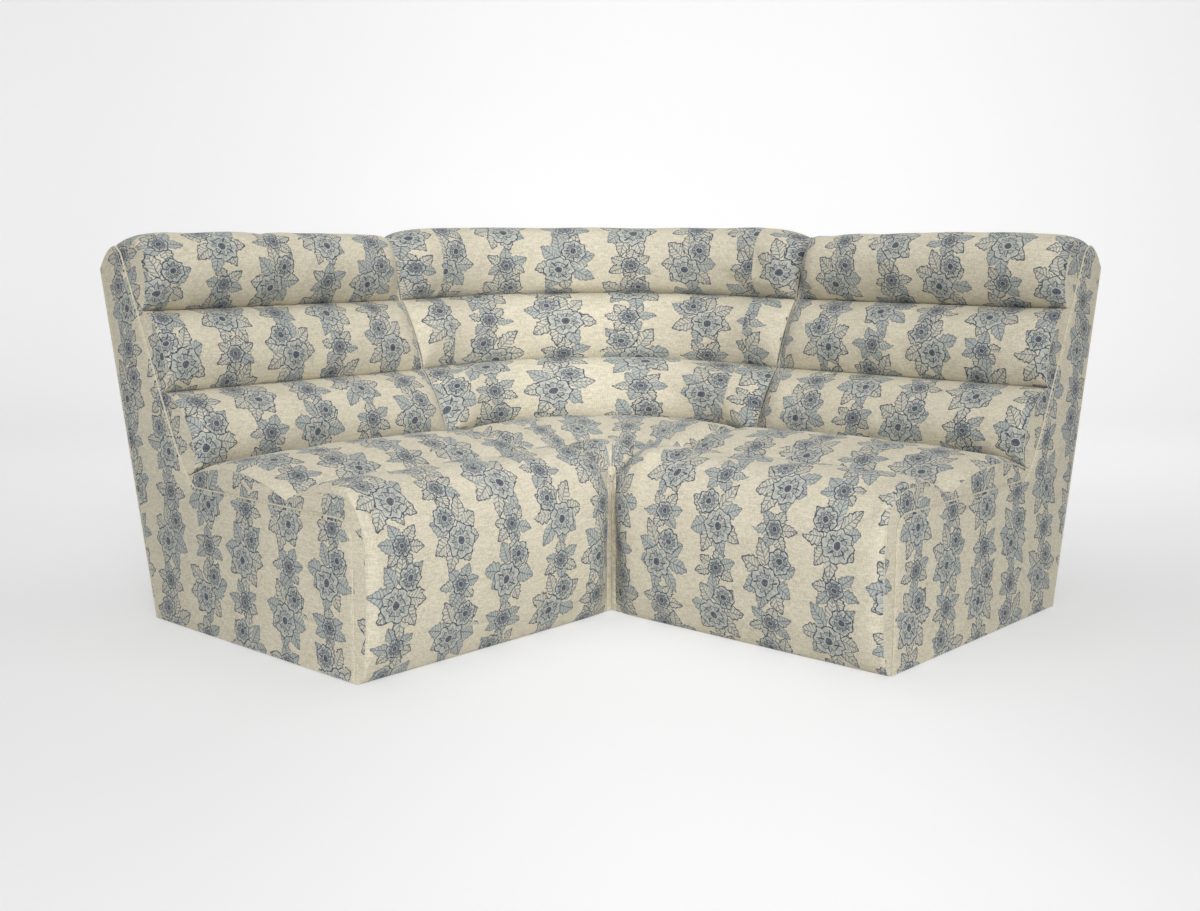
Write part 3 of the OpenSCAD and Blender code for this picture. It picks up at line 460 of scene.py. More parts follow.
def node_with(tree, kind, inputs, **settings):
    """A new node with these settings, whose inputs are fed these values, by name or number."""
    node = tree.nodes.new("ShaderNode" + kind)
    for setting, value in settings.items():
        setattr(node, setting, value)
    feed_all(node, inputs)
    return node


def tree_of(*values):
    return next(v.socket.id_data for v in values if isinstance(v, Num))


def calc(kind, *values):
    """A Math node of this kind on numbers and plain values."""
    return Num(node_with(tree_of(*values), "Math", dict(enumerate(values)), operation=kind).outputs[0])


def smaller(a, b):
    return calc("MINIMUM", a, b)


def larger(a, b):
    return calc("MAXIMUM", a, b)


def size_of(a):
    return calc("ABSOLUTE", a)


def hypot(x, y):
    return calc("SQRT", x * x + y * y)


def fade(value, low, high):
    """1 where the value is under low, 0 where it is over high, smooth between."""
    inputs = {"Value": value, "From Min": low, "From Max": high, "To Min": 1, "To Max": 0}
    return Num(node_with(tree_of(value), "MapRange", inputs, interpolation_type="SMOOTHSTEP").outputs[0])


def combined(x, y, z=0.0):
    """A vector socket from three numbers."""
    return node_with(tree_of(x, y, z), "CombineXYZ", {0: x, 1: y, 2: z}).outputs[0]


def split_up(vector):
    """The first two numbers of a vector socket."""
    parts = node_with(vector.id_data, "SeparateXYZ", {0: vector}).outputs
    return Num(parts[0]), Num(parts[1])


def noise(vector, scale, detail, roughness):
    """A noise texture's value, and its colour's first two channels, each about 0.5."""
    inputs = {"Vector": vector, "Scale": scale, "Detail": detail, "Roughness": roughness}
    value, colour = node_with(vector.id_data, "TexNoise", inputs).outputs[:2]
    parts = node_with(vector.id_data, "SeparateColor", {0: colour}).outputs
    return Num(value), Num(parts[0]), Num(parts[1])


def hashed(a, b, offset):
    """A random number from 0 to 1 that depends on two whole numbers."""
    inputs = {"Vector": combined(a, b, offset)}
    return Num(node_with(tree_of(a, b), "TexWhiteNoise", inputs, noise_dimensions="3D").outputs["Value"])


# The printed pattern. Its lengths are in millimetres of cloth

COLUMN_PITCH = 150.0
ROW_PITCH = 212.0
INK_WIDTH = 1.7


class Print:
    """What has been printed so far: how much pale fill and how much dark ink."""

    def __init__(self, fill, ink):
        self.fill = fill
        self.ink = ink

    def over(self, inside, fill, ink):
        """Prints a shape on top: inside is 1 within it, fill and ink are what it shows there."""
        self.fill = self.fill * (1 - inside) + inside * fill
        self.ink = larger(self.ink * (1 - inside), ink)


def rosette(x, y, radius, petals, phase, wobble):
    """A round ruffled flower: how far inside it is, its fill and its ink."""
    r = hypot(x, y)
    angle = calc("ARCTAN2", y, x)
    swing = calc("SINE", angle * petals + phase)
    edge = radius * (1 + 0.07 * swing + 0.025 * calc("SINE", angle * 13 + phase * 3))
    out = r - edge + wobble
    inside = fade(out, -0.4, 0.4)
    rim = fade(size_of(out), INK_WIDTH * 0.5, INK_WIDTH * 1.3)
    ring_r = edge * 0.60 + 1.6 * calc("SINE", angle * (petals + 3) - phase)
    ring = fade(size_of(r - ring_r), INK_WIDTH * 0.4, INK_WIDTH * 1.1)
    eye = fade(size_of(r - radius * 0.21), INK_WIDTH * 0.4, INK_WIDTH * 1.1)
    # Fine lines run in from the rim and out from the ring
    spoke = size_of(calc("SINE", angle * 18 + swing * 2 + r * 0.05)) * r
    reach = calc("PINGPONG", r / radius + 0.08, 0.34)
    rays = fade(spoke, 5.0, 14.0) * fade(reach, 0.22, 0.33)
    lines = larger(larger(rim, ring * 0.9), larger(eye, rays * 0.95))
    return inside, 0.78, lines * fade(out, 0.9, 1.6)


def leaf(s, d, width, wobble, dark):
    """A pointed leaf along s, from 0 to 1, with d across it: how far inside, its fill and its ink."""
    body = calc("SINE", calc("POWER", smaller(larger(s, 0.0), 1.0), 0.8) * math.pi)
    teeth = calc("PINGPONG", s * 4.5 + 0.1, 0.5)
    half = body * width * (0.84 + 0.5 * teeth)
    out = size_of(d) - half + wobble * body
    across = fade(out, -0.4, 0.4)
    within = fade(size_of(s - 0.5), 0.49, 0.5)
    inside = across * within
    rim = fade(size_of(out), INK_WIDTH * 0.4, INK_WIDTH * 1.2) * within * (1.0 - 0.3 * dark)
    rib = fade(size_of(d), INK_WIDTH * 0.3, INK_WIDTH * 0.9)
    veins = calc("PINGPONG", s * 6.5 - size_of(d) * 0.08, 0.5)
    veins = fade(veins, 0.05, 0.22) * 0.65
    return inside, 0.42 + 0.54 * dark, larger(rim, larger(rib * 0.8, larger(veins, dark * 0.10)) * inside)


def printed_pattern(u, v):
    """Fill and ink of the print at a place on the cloth, in millimetres."""
    cloth = combined(u, v)
    _, du, dv = noise(cloth, 0.045, 3.0, 0.6)
    _, fine, _ = noise(cloth, 0.24, 2.0, 0.6)
    u = u + (du - 0.5) * 10
    v = v + (dv - 0.5) * 10
    wobble = (fine - 0.5) * 4.5

    sheet = Print(0.0 * u, 0.0 * u)
    column = calc("FLOOR", u / COLUMN_PITCH)
    odd = calc("FLOORED_MODULO", column, 2.0)
    x = u - (column + 0.5) * COLUMN_PITCH
    for big in (False, True):
        down = v / ROW_PITCH + odd * 0.5 + (0.0 if big else 0.5)
        row = calc("FLOOR", down)
        y = (down - row - 0.5) * ROW_PITCH
        flip = calc("FLOORED_MODULO", column + row, 2.0) * 2 - 1
        turn = hashed(column, row, 0.3 + big)
        if big:
            bouquet(sheet, x * flip, y, turn, wobble)
        else:
            sprig(sheet, x * flip, y, turn, wobble)
    return sheet.fill, sheet.ink


def wreath(sheet, x, y, count, inner, length, width, turn, wobble, uneven):
    """Leaves that point outwards all round a centre, of uneven length and shade."""
    r = hypot(x, y)
    sector = 2 * math.pi / count
    angle = calc("ARCTAN2", y, x) + turn
    index = calc("FLOOR", angle / sector)
    off = angle - (index + 0.5) * sector
    draw = hashed(index, turn, 0.7)
    reach = length * (1 - uneven + uneven * 2 * draw)
    off = off + (draw - 0.5) * 0.3
    along = r * calc("COSINE", off) - inner
    across = r * calc("SINE", off)
    dark = calc("LESS_THAN", hashed(index, turn, 4.1), 0.4)
    sheet.over(*leaf(along / reach, across, width, wobble, dark))


def bouquet(sheet, x, y, turn, wobble):
    wreath(sheet, x - 1, y * 0.84 - 1, 8, 20.0, 52.0, 17.0, turn * 2, wobble, 0.2)
    sheet.over(*rosette(x + 24, y - 36, 27.0, 7.0, turn * 4 + 1, wobble))
    sheet.over(*rosette(x - 12, y + 15, 36.0, 8.0, turn * 5, wobble))


def sprig(sheet, x, y, turn, wobble):
    wreath(sheet, (x - 8) * 0.85, y + 2, 6, 11.0, 37.0, 13.0, turn * 3, wobble, 0.15)
    sheet.over(*rosette(x - 8, y + 2, 21.0, 6.0, turn * 6, wobble * 0.8))


def new_material(name):
    material = bpy.data.materials.new(name)
    material.use_nodes = True
    return material, material.node_tree, material.node_tree.nodes["Principled BSDF"]


def blended(factor, low, high):
    """A colour between two, which are tuples or sockets."""
    low, high = ((*colour, 1) if isinstance(colour, tuple) else colour for colour in (low, high))
    return node_with(tree_of(factor), "Mix", {0: factor, 6: low, 7: high}, data_type="RGBA").outputs[2]


def bumped(bsdf, height, strength, distance):
    inputs = {"Strength": strength, "Distance": distance, "Height": height}
    feed(bsdf.inputs["Normal"], node_with(bsdf.id_data, "Bump", inputs).outputs[0])


LINEN = (0.68, 0.632, 0.50)
LINEN_THREAD = (0.47, 0.43, 0.325)
LINEN_LIGHT = (0.73, 0.685, 0.56)
FILL = (0.405, 0.445, 0.425)
INK = (0.044, 0.057, 0.094)
MILLI = 1000.0


def linen(u, v):
    """The colour of the bare cloth, and the height of its weave; u and v in millimetres."""
    warp, _, _ = noise(combined(u * 0.42, v * 0.07), 1.2, 3.0, 0.65)
    weft, _, _ = noise(combined(u * 0.07, v * 0.42, 7.0), 1.2, 3.0, 0.65)
    patches, _, _ = noise(combined(u, v, 3.0), 0.02, 2.0, 0.5)
    thread = larger(warp, weft)
    tone = fade(warp + weft, 0.82, 1.22)
    colour = blended(tone, LINEN_THREAD, LINEN)
    colour = blended(fade(patches, 0.35, 0.7) * 0.2, colour, LINEN_LIGHT)
    return colour, thread


def cloth_coordinates(tree):
    u, v = split_up(node_with(tree, "UVMap", {}, uv_map="fabric").outputs[0])
    return u * MILLI, v * MILLI


SHEEN = {"Roughness": 0.88, "Specular IOR Level": 0.18, "Sheen Weight": 0.12, "Sheen Roughness": 0.5}


def fabric_finish(bsdf, colour, thread, relief):
    """Colour and sheen of a cloth, with the relief of its weave in metres."""
    feed_all(bsdf, {"Base Color": colour, **SHEEN})
    bumped(bsdf, thread, 0.5, relief)


def printed_linen():
    material, tree, bsdf = new_material("printed_linen")
    u, v = cloth_coordinates(tree)
    ground, thread = linen(u, v)
    fill, ink = printed_pattern(u, v)
    # The ink misses the low threads of the weave
    gap = fade(thread, 0.36, 0.56)
    fill = fill * (1 - 0.35 * gap)
    ink = ink * (1 - 0.30 * gap)
    colour = blended(smaller(fill, 1.0) * 0.92, ground, FILL)
    colour = blended(smaller(ink, 1.0), colour, INK)
    fabric_finish(bsdf, colour, thread, 0.0006)
    return material


def plain_linen():
    material, tree, bsdf = new_material("plain_linen")
    fabric_finish(bsdf, *linen(*cloth_coordinates(tree)), 0.0004)
    return material


printed = printed_linen()
plain = plain_linen()


# Soft pads

def end_fullness(distance, reach, share, soft=False):
    """How full a pad is at a distance from its end, where it starts with share and rounds over reach.
    A soft end rises evenly, the others stand up steeply."""
    d = np.clip(distance / reach, 0, 1)
    rise = 1 - (1 - d) ** 2
    return share + (1 - share) * (rise if soft else np.sqrt(rise))


def stations(start, end, lead, tail, step, n=20):
    """Places from start to end, close together where the ends round over."""
    q = np.linspace(0, math.pi / 2, n)
    first = start + lead * (1 - np.cos(q))
    last = (end - tail * (1 - np.cos(q)))[::-1]
    count = max(2, round((last[0] - first[-1]) / step))
    return np.concatenate([first, np.linspace(first[-1], last[0], count + 1)[1:-1], last])


def outward(face, rest):
    """Unit normals of a profile, on the side away from its rest."""
    n = left_normals(face)
    return n if np.sum(n * (face - rest)) > 0 else -n


# Slow swelling of the covers and small puckers beside their seams
SWELL = 0.0032
SWELL_WAVES = (0.09, 0.26)
SWELL_EDGE = 0.05
PUCKER = 0.0016
PUCKER_WAVES = (0.018, 0.045)
PUCKER_REACH = 0.016
CALM_END = 0.03


def pad_rings(face, rest, base, along, full, seed):
    """Closed rings in depth and height, one per place along the pad."""
    s = lengths(face)
    normals = outward(face, rest)
    swell = waves(seed, 9, *SWELL_WAVES)(along[:, None], s[None, :])
    pull = waves(seed + 1, 7, *PUCKER_WAVES)(along[:, None], 0 * s[None, :] + seed)
    edge = np.minimum(s, s[-1] - s)
    swell = SWELL * swell * np.clip(edge / SWELL_EDGE, 0, 1)
    pucker = PUCKER * pull * np.exp(-edge / PUCKER_REACH) * (edge > 0)
    calm = np.clip(np.minimum(along - along[0], along[-1] - along) / CALM_END, 0, 1)
    lift = (swell + pucker) * calm[:, None]
    body = rest + (face - rest) * full[:, None, None] + normals * lift[:, :, None]
    base = np.broadcast_to(np.array(base), (len(along), len(base), 2))
    return np.concatenate([body, base], axis=1)


def around(face, base):
    """Running length along a ring: over the face, then round the base."""
    return lengths(np.vstack([face, base, face[:1]]))


def raised(shape, level):
    """Lifts the top of the corner's upper roll where level is 1."""
    low = UPPER_TOP[1] - TOP_DROP
    share = np.clip((shape[:, :, 1] - low) / TOP_DROP, 0, 1) ** 1.5
    lift = CORNER_RISE * level[:, None] * share
    return np.stack([shape[:, :, 0], shape[:, :, 1] + lift], axis=2)


PAD_STEP = 0.0065
covers = []


def dressed(obj, body, material, node=None):
    """Puts a piece on its body with its material, in place of a node where one is named."""
    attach(obj, body)
    if node:
        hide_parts(node)
    obj.data.materials.append(material)
    return obj


def cover(body, node, rings, u_grid, v_start, face, base):
    """The padded cover of a node, through these rings, whose cloth starts at v_start."""
    obj = lofted(f"{node}_cover", rings, u_grid, v_start + around(face, base))
    dressed(obj, body, printed, node)
    covers.append((obj, rings, len(face)))


PAD_W1 = MODULE_W - FREE_END


def joint_end(node):
    """How far from the joint plane the cover of this pad ends."""
    return ROLL_END if "roll" in node else COVER_END


# Share of a pad's fullness left at its inner and its free end, and the lengths it rounds over there
ENDS = {
    "seat_front": (0.03, 0.72, 0.100, 0.026),
    "seat_rear": (0.55, 0.80, 0.050, 0.026),
    "back_roll_lower": (0.26, 0.74, 0.088, 0.030),
    "back_roll_middle": (0.26, 0.80, 0.088, 0.030),
    "back_roll_upper": (0.21, 0.66, 0.088, 0.050),
}
# Pads start this much less full in the middle, and the cloth simulation makes up for it
CLOTH_ROOM = 0.03


def straight_pad(side, node, face, rest, base, crown, u_start, v_start, seed):
    """One pad of a straight module, with one rest for each end."""
    share_in, share_out, round_in, round_out = ENDS[node]
    start = joint_end(node)
    w = stations(start, PAD_W1, round_in, round_out, PAD_STEP)
    share_of_width = (w - start) / (PAD_W1 - start)
    level = 1 - (2 * share_of_width - 1) ** 2
    full = np.minimum(end_fullness(w - start, round_in, share_in, True),
                      end_fullness(PAD_W1 - w, round_out, share_out)) * (1 + (crown - CLOTH_ROOM) * level)
    rest = rest[0] + (rest[1] - rest[0]) * smooth_step(share_of_width * 2 - 0.5)[:, None, None]
    shape = pad_rings(face, rest, base, w, full, seed)
    rings = in_module(side, w[:, None], shape[:, :, 0], shape[:, :, 1])
    name = SIDE_NAMES[side]
    cover(f"{name}_module", f"{name}_{node}", rings, (u_start + side * w)[:, None], v_start, face, base)


TIP_SHARE = 0.66
CORNER_SEAM = math.radians(35) / (math.pi / 4)
SEAM_SHIFT = 0.047
CORNER_RISE = 0.017


def corner_pad(node, face, rest, base, crown, place, size, v_start, seed, seams):
    """One pad of the corner module. place puts a point of a profile on its arc, and size is about
    half the arc's length. Beyond its seams, if it has them, the cloth is shifted."""
    share, _, rounding, _ = ENDS[node]
    if node == "seat_front":
        share, rounding = TIP_SHARE, 0.03
    reach = rounding / size
    turn = stations(-1, 1, reach, reach, PAD_STEP / size)
    if seams:
        turn = np.sort(np.concatenate([turn, [-CORNER_SEAM, CORNER_SEAM]]))
    full = end_fullness(1 - np.abs(turn), reach, share, True) * (1 + (crown - CLOTH_ROOM) * (1 - turn ** 2))
    shape = pad_rings(face, rest, base, turn * size, full, seed)
    if node == "back_roll_upper":
        shape = raised(shape, 1 - turn ** 10)
    rings = place(shape[:, :, 0], shape[:, :, 1], turn[:, None])
    u_grid = (turn * size)[:, None]
    if seams:
        middles = (turn[:-1] + turn[1:]) / 2
        beyond = np.where(np.abs(middles) > CORNER_SEAM, np.sign(middles), 0)
        u_grid = in_steps(u_grid) + SEAM_SHIFT * beyond[:, None, None]
    cover("corner_module", f"corner_{node}", rings, u_grid, v_start, face, base)


# Bands that close the ends of the pads above a side panel

def band(name, body, side, lines, w, high, u_start, seam_r, is_plain=False):
    """A band from the side panel at w to the end of a pad at high, bowed out a little, with a thin back.
    lines are the two edges in depth and height, and the pad's end has a seam of radius seam_r."""
    below, edge, out = lines
    low = in_module(side, w, *below.T)
    out = into_room(side, out)
    if seam_r:
        edge_seams[body].append(tube("seam", high + out * SEAM_OUT, seam_r, 6))
    share = np.array([0, 0.06, 0.25, 0.5, 0.75, 0.94, 1])[None, :, None]
    front = low[:, None] * (1 - share) + high[:, None] * share
    front = front + out[:, None] * BAND_BOW * np.sin(math.pi * share)
    rings = np.concatenate([front, (front - out[:, None] * BAND_T)[:, ::-1]], axis=1)
    low_uv, high_uv = (line * [side, 1] + [u_start, 0] for line in (below, edge))
    flat = low_uv[:, None] * (1 - share) + high_uv[:, None] * share
    flat = np.concatenate([flat, flat[:, ::-1], flat[:, :1]], axis=1)
    obj = lofted(name, rings, flat[:, :, 0], flat[:, :, 1])
    slot, material = ("plain_fabric", plain) if is_plain else ("printed_fabric", printed)
    dressed(obj, body, material)


BAND_W = 0.004
BAND_T = 0.0015
BAND_BOW = 0.0022
BAND_LIFT = 0.0012
EDGE_SEAM_R = 0.0009
JOINT_SEAM_R = 0.0014
SEAM_OUT = 0.0006
# Where the cloth of the panels and the bands beside them starts
OUTER_CLOTH = 0.31
INNER_CLOTH = 0.4
CORNER_CLOTH = 0.17


def lines_of_band(face, rest, share, count=64):
    """The edge of a pad's end and the stretch of the panel's outline below it, with matching points."""
    edge = resampled(rest + (face - rest) * (share - 0.01), count)
    below = outline_between(edge[0], edge[-1])
    below = resampled(below + left_normals(below) * BAND_LIFT, count)
    return below, edge, left_normals(below)


edge_seams = {"corner_module": [], "left_module": [], "right_module": []}


def into_room(side, direction):
    """Directions in depth and height as directions in the room."""
    return in_module(side, 0, *direction.T) - in_module(side, 0, 0, 0)


def straight_band(side, node, face, rest, outer, share):
    name = SIDE_NAMES[side]
    end = "outer" if outer else "inner"
    lines = lines_of_band(face, rest, share)
    w = MODULE_W - BAND_W if outer else JOINT_HALF + BAND_W
    high = in_module(side, PAD_W1 if outer else joint_end(node), *lines[1].T)
    u_start = side * OUTER_CLOTH + (0 if outer else INNER_CLOTH)
    seam_r = EDGE_SEAM_R if outer else JOINT_SEAM_R
    if share < 0.5 and "seat" in node:
        seam_r = 0
    band(f"{name}_{node}_{end}_band", f"{name}_module", side, lines, w, high, u_start, seam_r,
         node == "seat_front" and not outer)


def corner_band(side, node, face, rest, place, share):
    lines = lines_of_band(face, rest, share)
    high = place(*lines[1].T, float(side))
    seam_r = EDGE_SEAM_R if "roll" in node else 0
    band(f"corner_{node}_{SIDE_NAMES[side]}_band", "corner_module", side, lines, -JOINT_HALF - BAND_W, high,
         side * CORNER_CLOTH, seam_r)


# Side panels, outside backs and piping

def side_panel(side, node, body, w_low, w_high, u_start):
    """A board with the panel's outline, its faces at w_low and w_high and its edges rounded."""
    inwards = -left_normals(np.vstack([OUTLINE[-1], OUTLINE, OUTLINE[0]]))[1:-1]
    turns = [math.radians(angle) for angle in (0, 22.5, 45, 67.5, 90)]
    steps = [(PANEL_EDGE_R * (1 - math.cos(q)), PANEL_EDGE_R * (1 - math.sin(q))) for q in turns]
    places = [(w_low + depth, inset) for depth, inset in steps]
    places += [(w_high - depth, inset) for depth, inset in steps[::-1]]
    rings = np.array([in_module(side, w, *(OUTLINE + inwards * inset).T) for w, inset in places])
    u, v = np.vstack([OUTLINE, OUTLINE[:1]]).T
    obj = lofted(f"{node}_cover", rings, side * u + u_start, v)
    dressed(obj, body, printed, node)


def board_section(radius=0.005, steps=5):
    """Section of an outside back in depth and height, with rounded corners."""
    top = BACK_TOP[1]
    corners = np.array([(outside_t(FLOOR_GAP), FLOOR_GAP), (outside_t(top), top),
                        (outside_t(top, BOARD_T), top), (outside_t(FLOOR_GAP, BOARD_T), FLOOR_GAP)])
    points = []
    for before, here, after in zip(np.roll(corners, 1, 0), corners, np.roll(corners, -1, 0)):
        start = here + (before - here) / np.linalg.norm(before - here) * radius
        end = here + (after - here) / np.linalg.norm(after - here) * radius
        for k in np.linspace(0, 1, steps):
            points.append((1 - k) ** 2 * start + 2 * k * (1 - k) * here + k * k * end)
    return np.array(points)


def back_board(node, body, place, along, u):
    """An outside back: its section swept across the module by place, with cloth lengths u."""
    section = board_section()
    rings = np.array([place(q, section[:, 0], section[:, 1]) for q in along])
    obj = lofted(f"{node}_cover", rings, u[:, None], lengths(np.vstack([section, section[:1]])))
    dressed(obj, body, printed, node)


def tube(name, path, radius, sides=10):
    """A round cord along a line of points."""
    path = np.asarray(path, float)
    along = np.gradient(path, axis=0)
    along /= np.linalg.norm(along, axis=1)[:, None]
    up = np.array([0.0, 0.0, 1.0]) if abs(along[0, 2]) < 0.9 else np.array([1.0, 0.0, 0.0])
    rings = []
    for p, d in zip(path, along):
        up = up - d * np.dot(up, d)
        up /= np.linalg.norm(up)
        other = np.cross(d, up)
        q = np.linspace(0, 2 * math.pi, sides, endpoint=False)
        rings.append(p + radius * (np.outer(np.cos(q), up) + np.outer(np.sin(q), other)))
    u = np.linspace(0, 2 * math.pi * radius, sides + 1)
    return lofted(name, np.array(rings), u, lengths(path)[:, None])


def joined(name, objects):
    """One object out of several."""
    bpy.ops.object.select_all(action="DESELECT")
    for o in objects:
        o.select_set(True)
    bpy.context.view_layer.objects.active = objects[0]
    bpy.ops.object.join()
    objects[0].name = name
    objects[0].select_set(False)
    return objects[0]


CORD_STEP = 0.008
OUTER_CORD_IN = 0.0022
INNER_CORD_IN = 0.0046
CORNER_CORD_IN = 0.0034
STITCH_IN = 0.007
STITCH_R = 0.0006


def cord_line(side, w, first=0):
    """A cord's centre line just outside the outline of a side panel."""
    path = densified(OUTLINE[first:], CORD_STEP)
    path = path + left_normals(path) * CORD_R * 0.6
    return in_module(side, w, *path.T)


def seam_line(side, w):
    """A row of topstitching just inside the outline of a side panel."""
    path = densified(OUTLINE, CORD_STEP)
    path = path - left_normals(path) * STITCH_IN
    return in_module(side, w, *path.T)


# Straight modules

FRONT = front_profile()
FRONT_REST = front_rest(FRONT)
FRONT_JOINT_REST = front_joint_rest(FRONT)
FRONT_BASE = [FRONT_START + [0, CORE_TOP + SOFT_GAP - VALLEY[1]], [-SOFT_GAP, CORE_TOP + SOFT_GAP],
              [-SOFT_GAP, FRONT_TOE[1]]]
REAR = rear_profile()
REAR_REST = dropped(REAR, REAR_START, REAR_END)
REAR_BASE = [[REAR_END[0], CORE_TOP + SOFT_GAP], [REAR_START[0], CORE_TOP + SOFT_GAP]]
REAR_CROWN = SEAT_CROWN / (CREST[1] - (VALLEY[1] + CREASE[1]) / 2)


def roll_parts(number, bulge, skew=0.0):
    """Face, rest and base of the lower (0) or the middle (1) roll."""
    s0 = number * ROLL_PITCH + CHANNEL_GAP / 2
    s1 = (number + 1) * ROLL_PITCH - CHANNEL_GAP / 2
    start, end = rake_point(s0, 0), rake_point(s1, 0)
    face = arch(start, end, OFF_RAKE * bulge, 1, skew)
    return face, dropped(face, start, end), [rake_point(s1, -PAD_BASE), rake_point(s0, -PAD_BASE)]


LOWER = roll_parts(0, LOWER_BULGE, 0.12)
MIDDLE = roll_parts(1, MIDDLE_BULGE)
UPPER_FACE = upper_profile()
UPPER = (UPPER_FACE, upper_rest(UPPER_FACE, JOINT_SLACK), UPPER_BASE)
UPPER_FREE_REST = upper_rest(UPPER_FACE, FREE_SLACK)
FRONT_LENGTH = lengths(FRONT)[-1]

for side, name in SIDE_NAMES.items():
    pads = [
        ("seat_front", FRONT, FRONT_REST, FRONT_BASE, SEAT_CROWN / 0.1, 0.02, 0.03),
        ("seat_rear", REAR, REAR_REST, REAR_BASE, REAR_CROWN, 0.02, 0.03 + FRONT_LENGTH),
        ("back_roll_lower", *LOWER, ROLL_CROWN / LOWER_BULGE, 0.06, 0.11),
        ("back_roll_middle", *MIDDLE, ROLL_CROWN / MIDDLE_BULGE, 0.06, 0.34),
        ("back_roll_upper", *UPPER, ROLL_CROWN / UPPER_BULGE, 0.06, 0.56),
    ]
    for k, (node, face, rest, base, crown, u, v) in enumerate(pads):
        upper = node == "back_roll_upper"
        rests = (FRONT_JOINT_REST if node == "seat_front" else rest, UPPER_FREE_REST if upper else rest)
        straight_pad(side, node, face, rests, base, crown, u, v, 40 * k + 7 * side + 20)
        straight_band(side, node, face, rests[1], True, ENDS[node][1])
        straight_band(side, node, face, rests[0], False, ENDS[node][0])
    side_panel(side, f"{name}_side_panel_outer", f"{name}_module", INSIDE_W1, MODULE_W, side * OUTER_CLOTH)
    side_panel(side, f"{name}_side_panel_inner", f"{name}_module", JOINT_HALF, INSIDE_W0,
               side * OUTER_CLOTH + INNER_CLOTH)
    widths = np.linspace(INSIDE_W0, INSIDE_W1, 24)
    back_board(f"{name}_back_panel", f"{name}_module", lambda w, t, z: in_module(side, w, t, z), widths,
               side * widths)


# Corner module

TIP = tip_profile()
TIP_REST = tip_rest(TIP)
TIP_BASE = [FRONT_START + [0, CORE_TOP + SOFT_GAP - VALLEY[1]], [TIP_T, CORE_TOP + SOFT_GAP]]
HALF_ARC = CREASE_R * math.pi / 4
corner_pads = [
    ("seat_front", TIP, TIP_REST, TIP_BASE, 0.03, on_fan, 0.09, 0.31, False),
    ("seat_rear", REAR, REAR_REST, REAR_BASE, 0.03, on_fan, HALF_ARC, 0.51, False),
    ("back_roll_lower", *LOWER, ROLL_CROWN / LOWER_BULGE, on_arc, HALF_ARC, 0.08, True),
    ("back_roll_middle", *MIDDLE, ROLL_CROWN / MIDDLE_BULGE, on_arc, HALF_ARC * 1.2, 0.30, True),
    ("back_roll_upper", *UPPER, ROLL_CROWN / UPPER_BULGE, on_arc, HALF_ARC * 1.45, 0.53, True),
]
for k, (node, face, rest, base, crown, place, size, v, seams) in enumerate(corner_pads):
    corner_pad(node, face, rest, base, crown, place, size, v, 300 + 30 * k, seams)
    for side in (-1, 1):
        corner_band(side, node, face, rest, place, TIP_SHARE if node == "seat_front" else ENDS[node][0])
for side, name in SIDE_NAMES.items():
    side_panel(side, f"corner_side_panel_{name}", "corner_module", -INSIDE_W0, -JOINT_HALF,
               side * CORNER_CLOTH)

# A small gusset closes the tip between the two panels
GUSSET_W = -0.011
GUSSET_FRONT = 0.0195
GUSSET_BACK = 0.0220
heights = np.linspace(SEAM_H - 0.05, SEAM_H + 0.012, 6)
bow = 0.0014 * np.sin(np.linspace(0, math.pi, 6))
gusset_corners = ((-1, GUSSET_FRONT), (1, GUSSET_FRONT), (1, GUSSET_BACK), (-1, GUSSET_BACK))
rings = np.array([[in_module(side, GUSSET_W, t, h) for side, t in gusset_corners] for h in heights])
rings[:, :, 1] -= bow[:, None]
gusset = lofted("corner_tip_gusset", rings, np.array([0.0, 0.012, 0.014, 0.026, 0.028]), heights[:, None])
dressed(gusset, "corner_module", printed)
turns = np.linspace(-1, 1, 96)
back_board("corner_back_panel", "corner_module", lambda turn, t, z: on_arc(t, z, turn, COVER_END),
           turns, turns * arc_r(BACK_TOP[0]) * math.pi / 4)

# Cloth simulation: each cover is blown up a little over its pad, sewn down along its seams and ends

CLOTH_STEP = 0.008
CLOTH_FRAMES = 20
CLOTH_GIVE = 0.007
CLOTH_SETTINGS = {
    "quality": 6,
    "mass": 0.3,
    "tension_stiffness": 40,
    "compression_stiffness": 25,
    "shear_stiffness": 8,
    "bending_stiffness": 0.6,
    "air_damping": 2,
    "use_pressure": True,
    "uniform_pressure_force": 1.5,
    "shrink_min": -0.02,
}


def picked(places, step):
    """Indices of places about step apart, with the first and the last."""
    marks = np.linspace(places[0], places[-1], max(3, round((places[-1] - places[0]) / step)) + 1)
    return np.unique(np.argmin(np.abs(places[None, :] - marks[:, None]), axis=1))


def cloth_copy(name, grid, face_count):
    """A closed cloth through a grid of points, held at its ends, its two seams and its base."""
    m, n = grid.shape[:2]
    faces = [(i * n + j, i * n + (j + 1) % n, (i + 1) * n + (j + 1) % n, (i + 1) * n + j)
             for i in range(m - 1) for j in range(n)]
    faces += [tuple(range(n))[::-1], tuple((m - 1) * n + j for j in range(n))]
    mesh = bpy.data.meshes.new(name)
    mesh.from_pydata(grid.reshape(-1, 3).tolist(), [], faces)
    turn_outwards(mesh)
    obj = placed(name, mesh)
    held = [i * n + j for i in range(m) for j in range(n)
            if i in (0, m - 1) or j == 0 or j >= face_count - 1]
    obj.vertex_groups.new(name="sewn").add(held, 1.0, "REPLACE")
    cloth = obj.modifiers.new("cover", "CLOTH")
    for setting, value in CLOTH_SETTINGS.items():
        setattr(cloth.settings, setting, value)
    cloth.settings.vertex_group_mass = "sewn"
    cloth.settings.effector_weights.gravity = 0
    cloth.collision_settings.use_collision = False
    cloth.point_cache.frame_start = 1
    cloth.point_cache.frame_end = CLOTH_FRAMES
    return obj


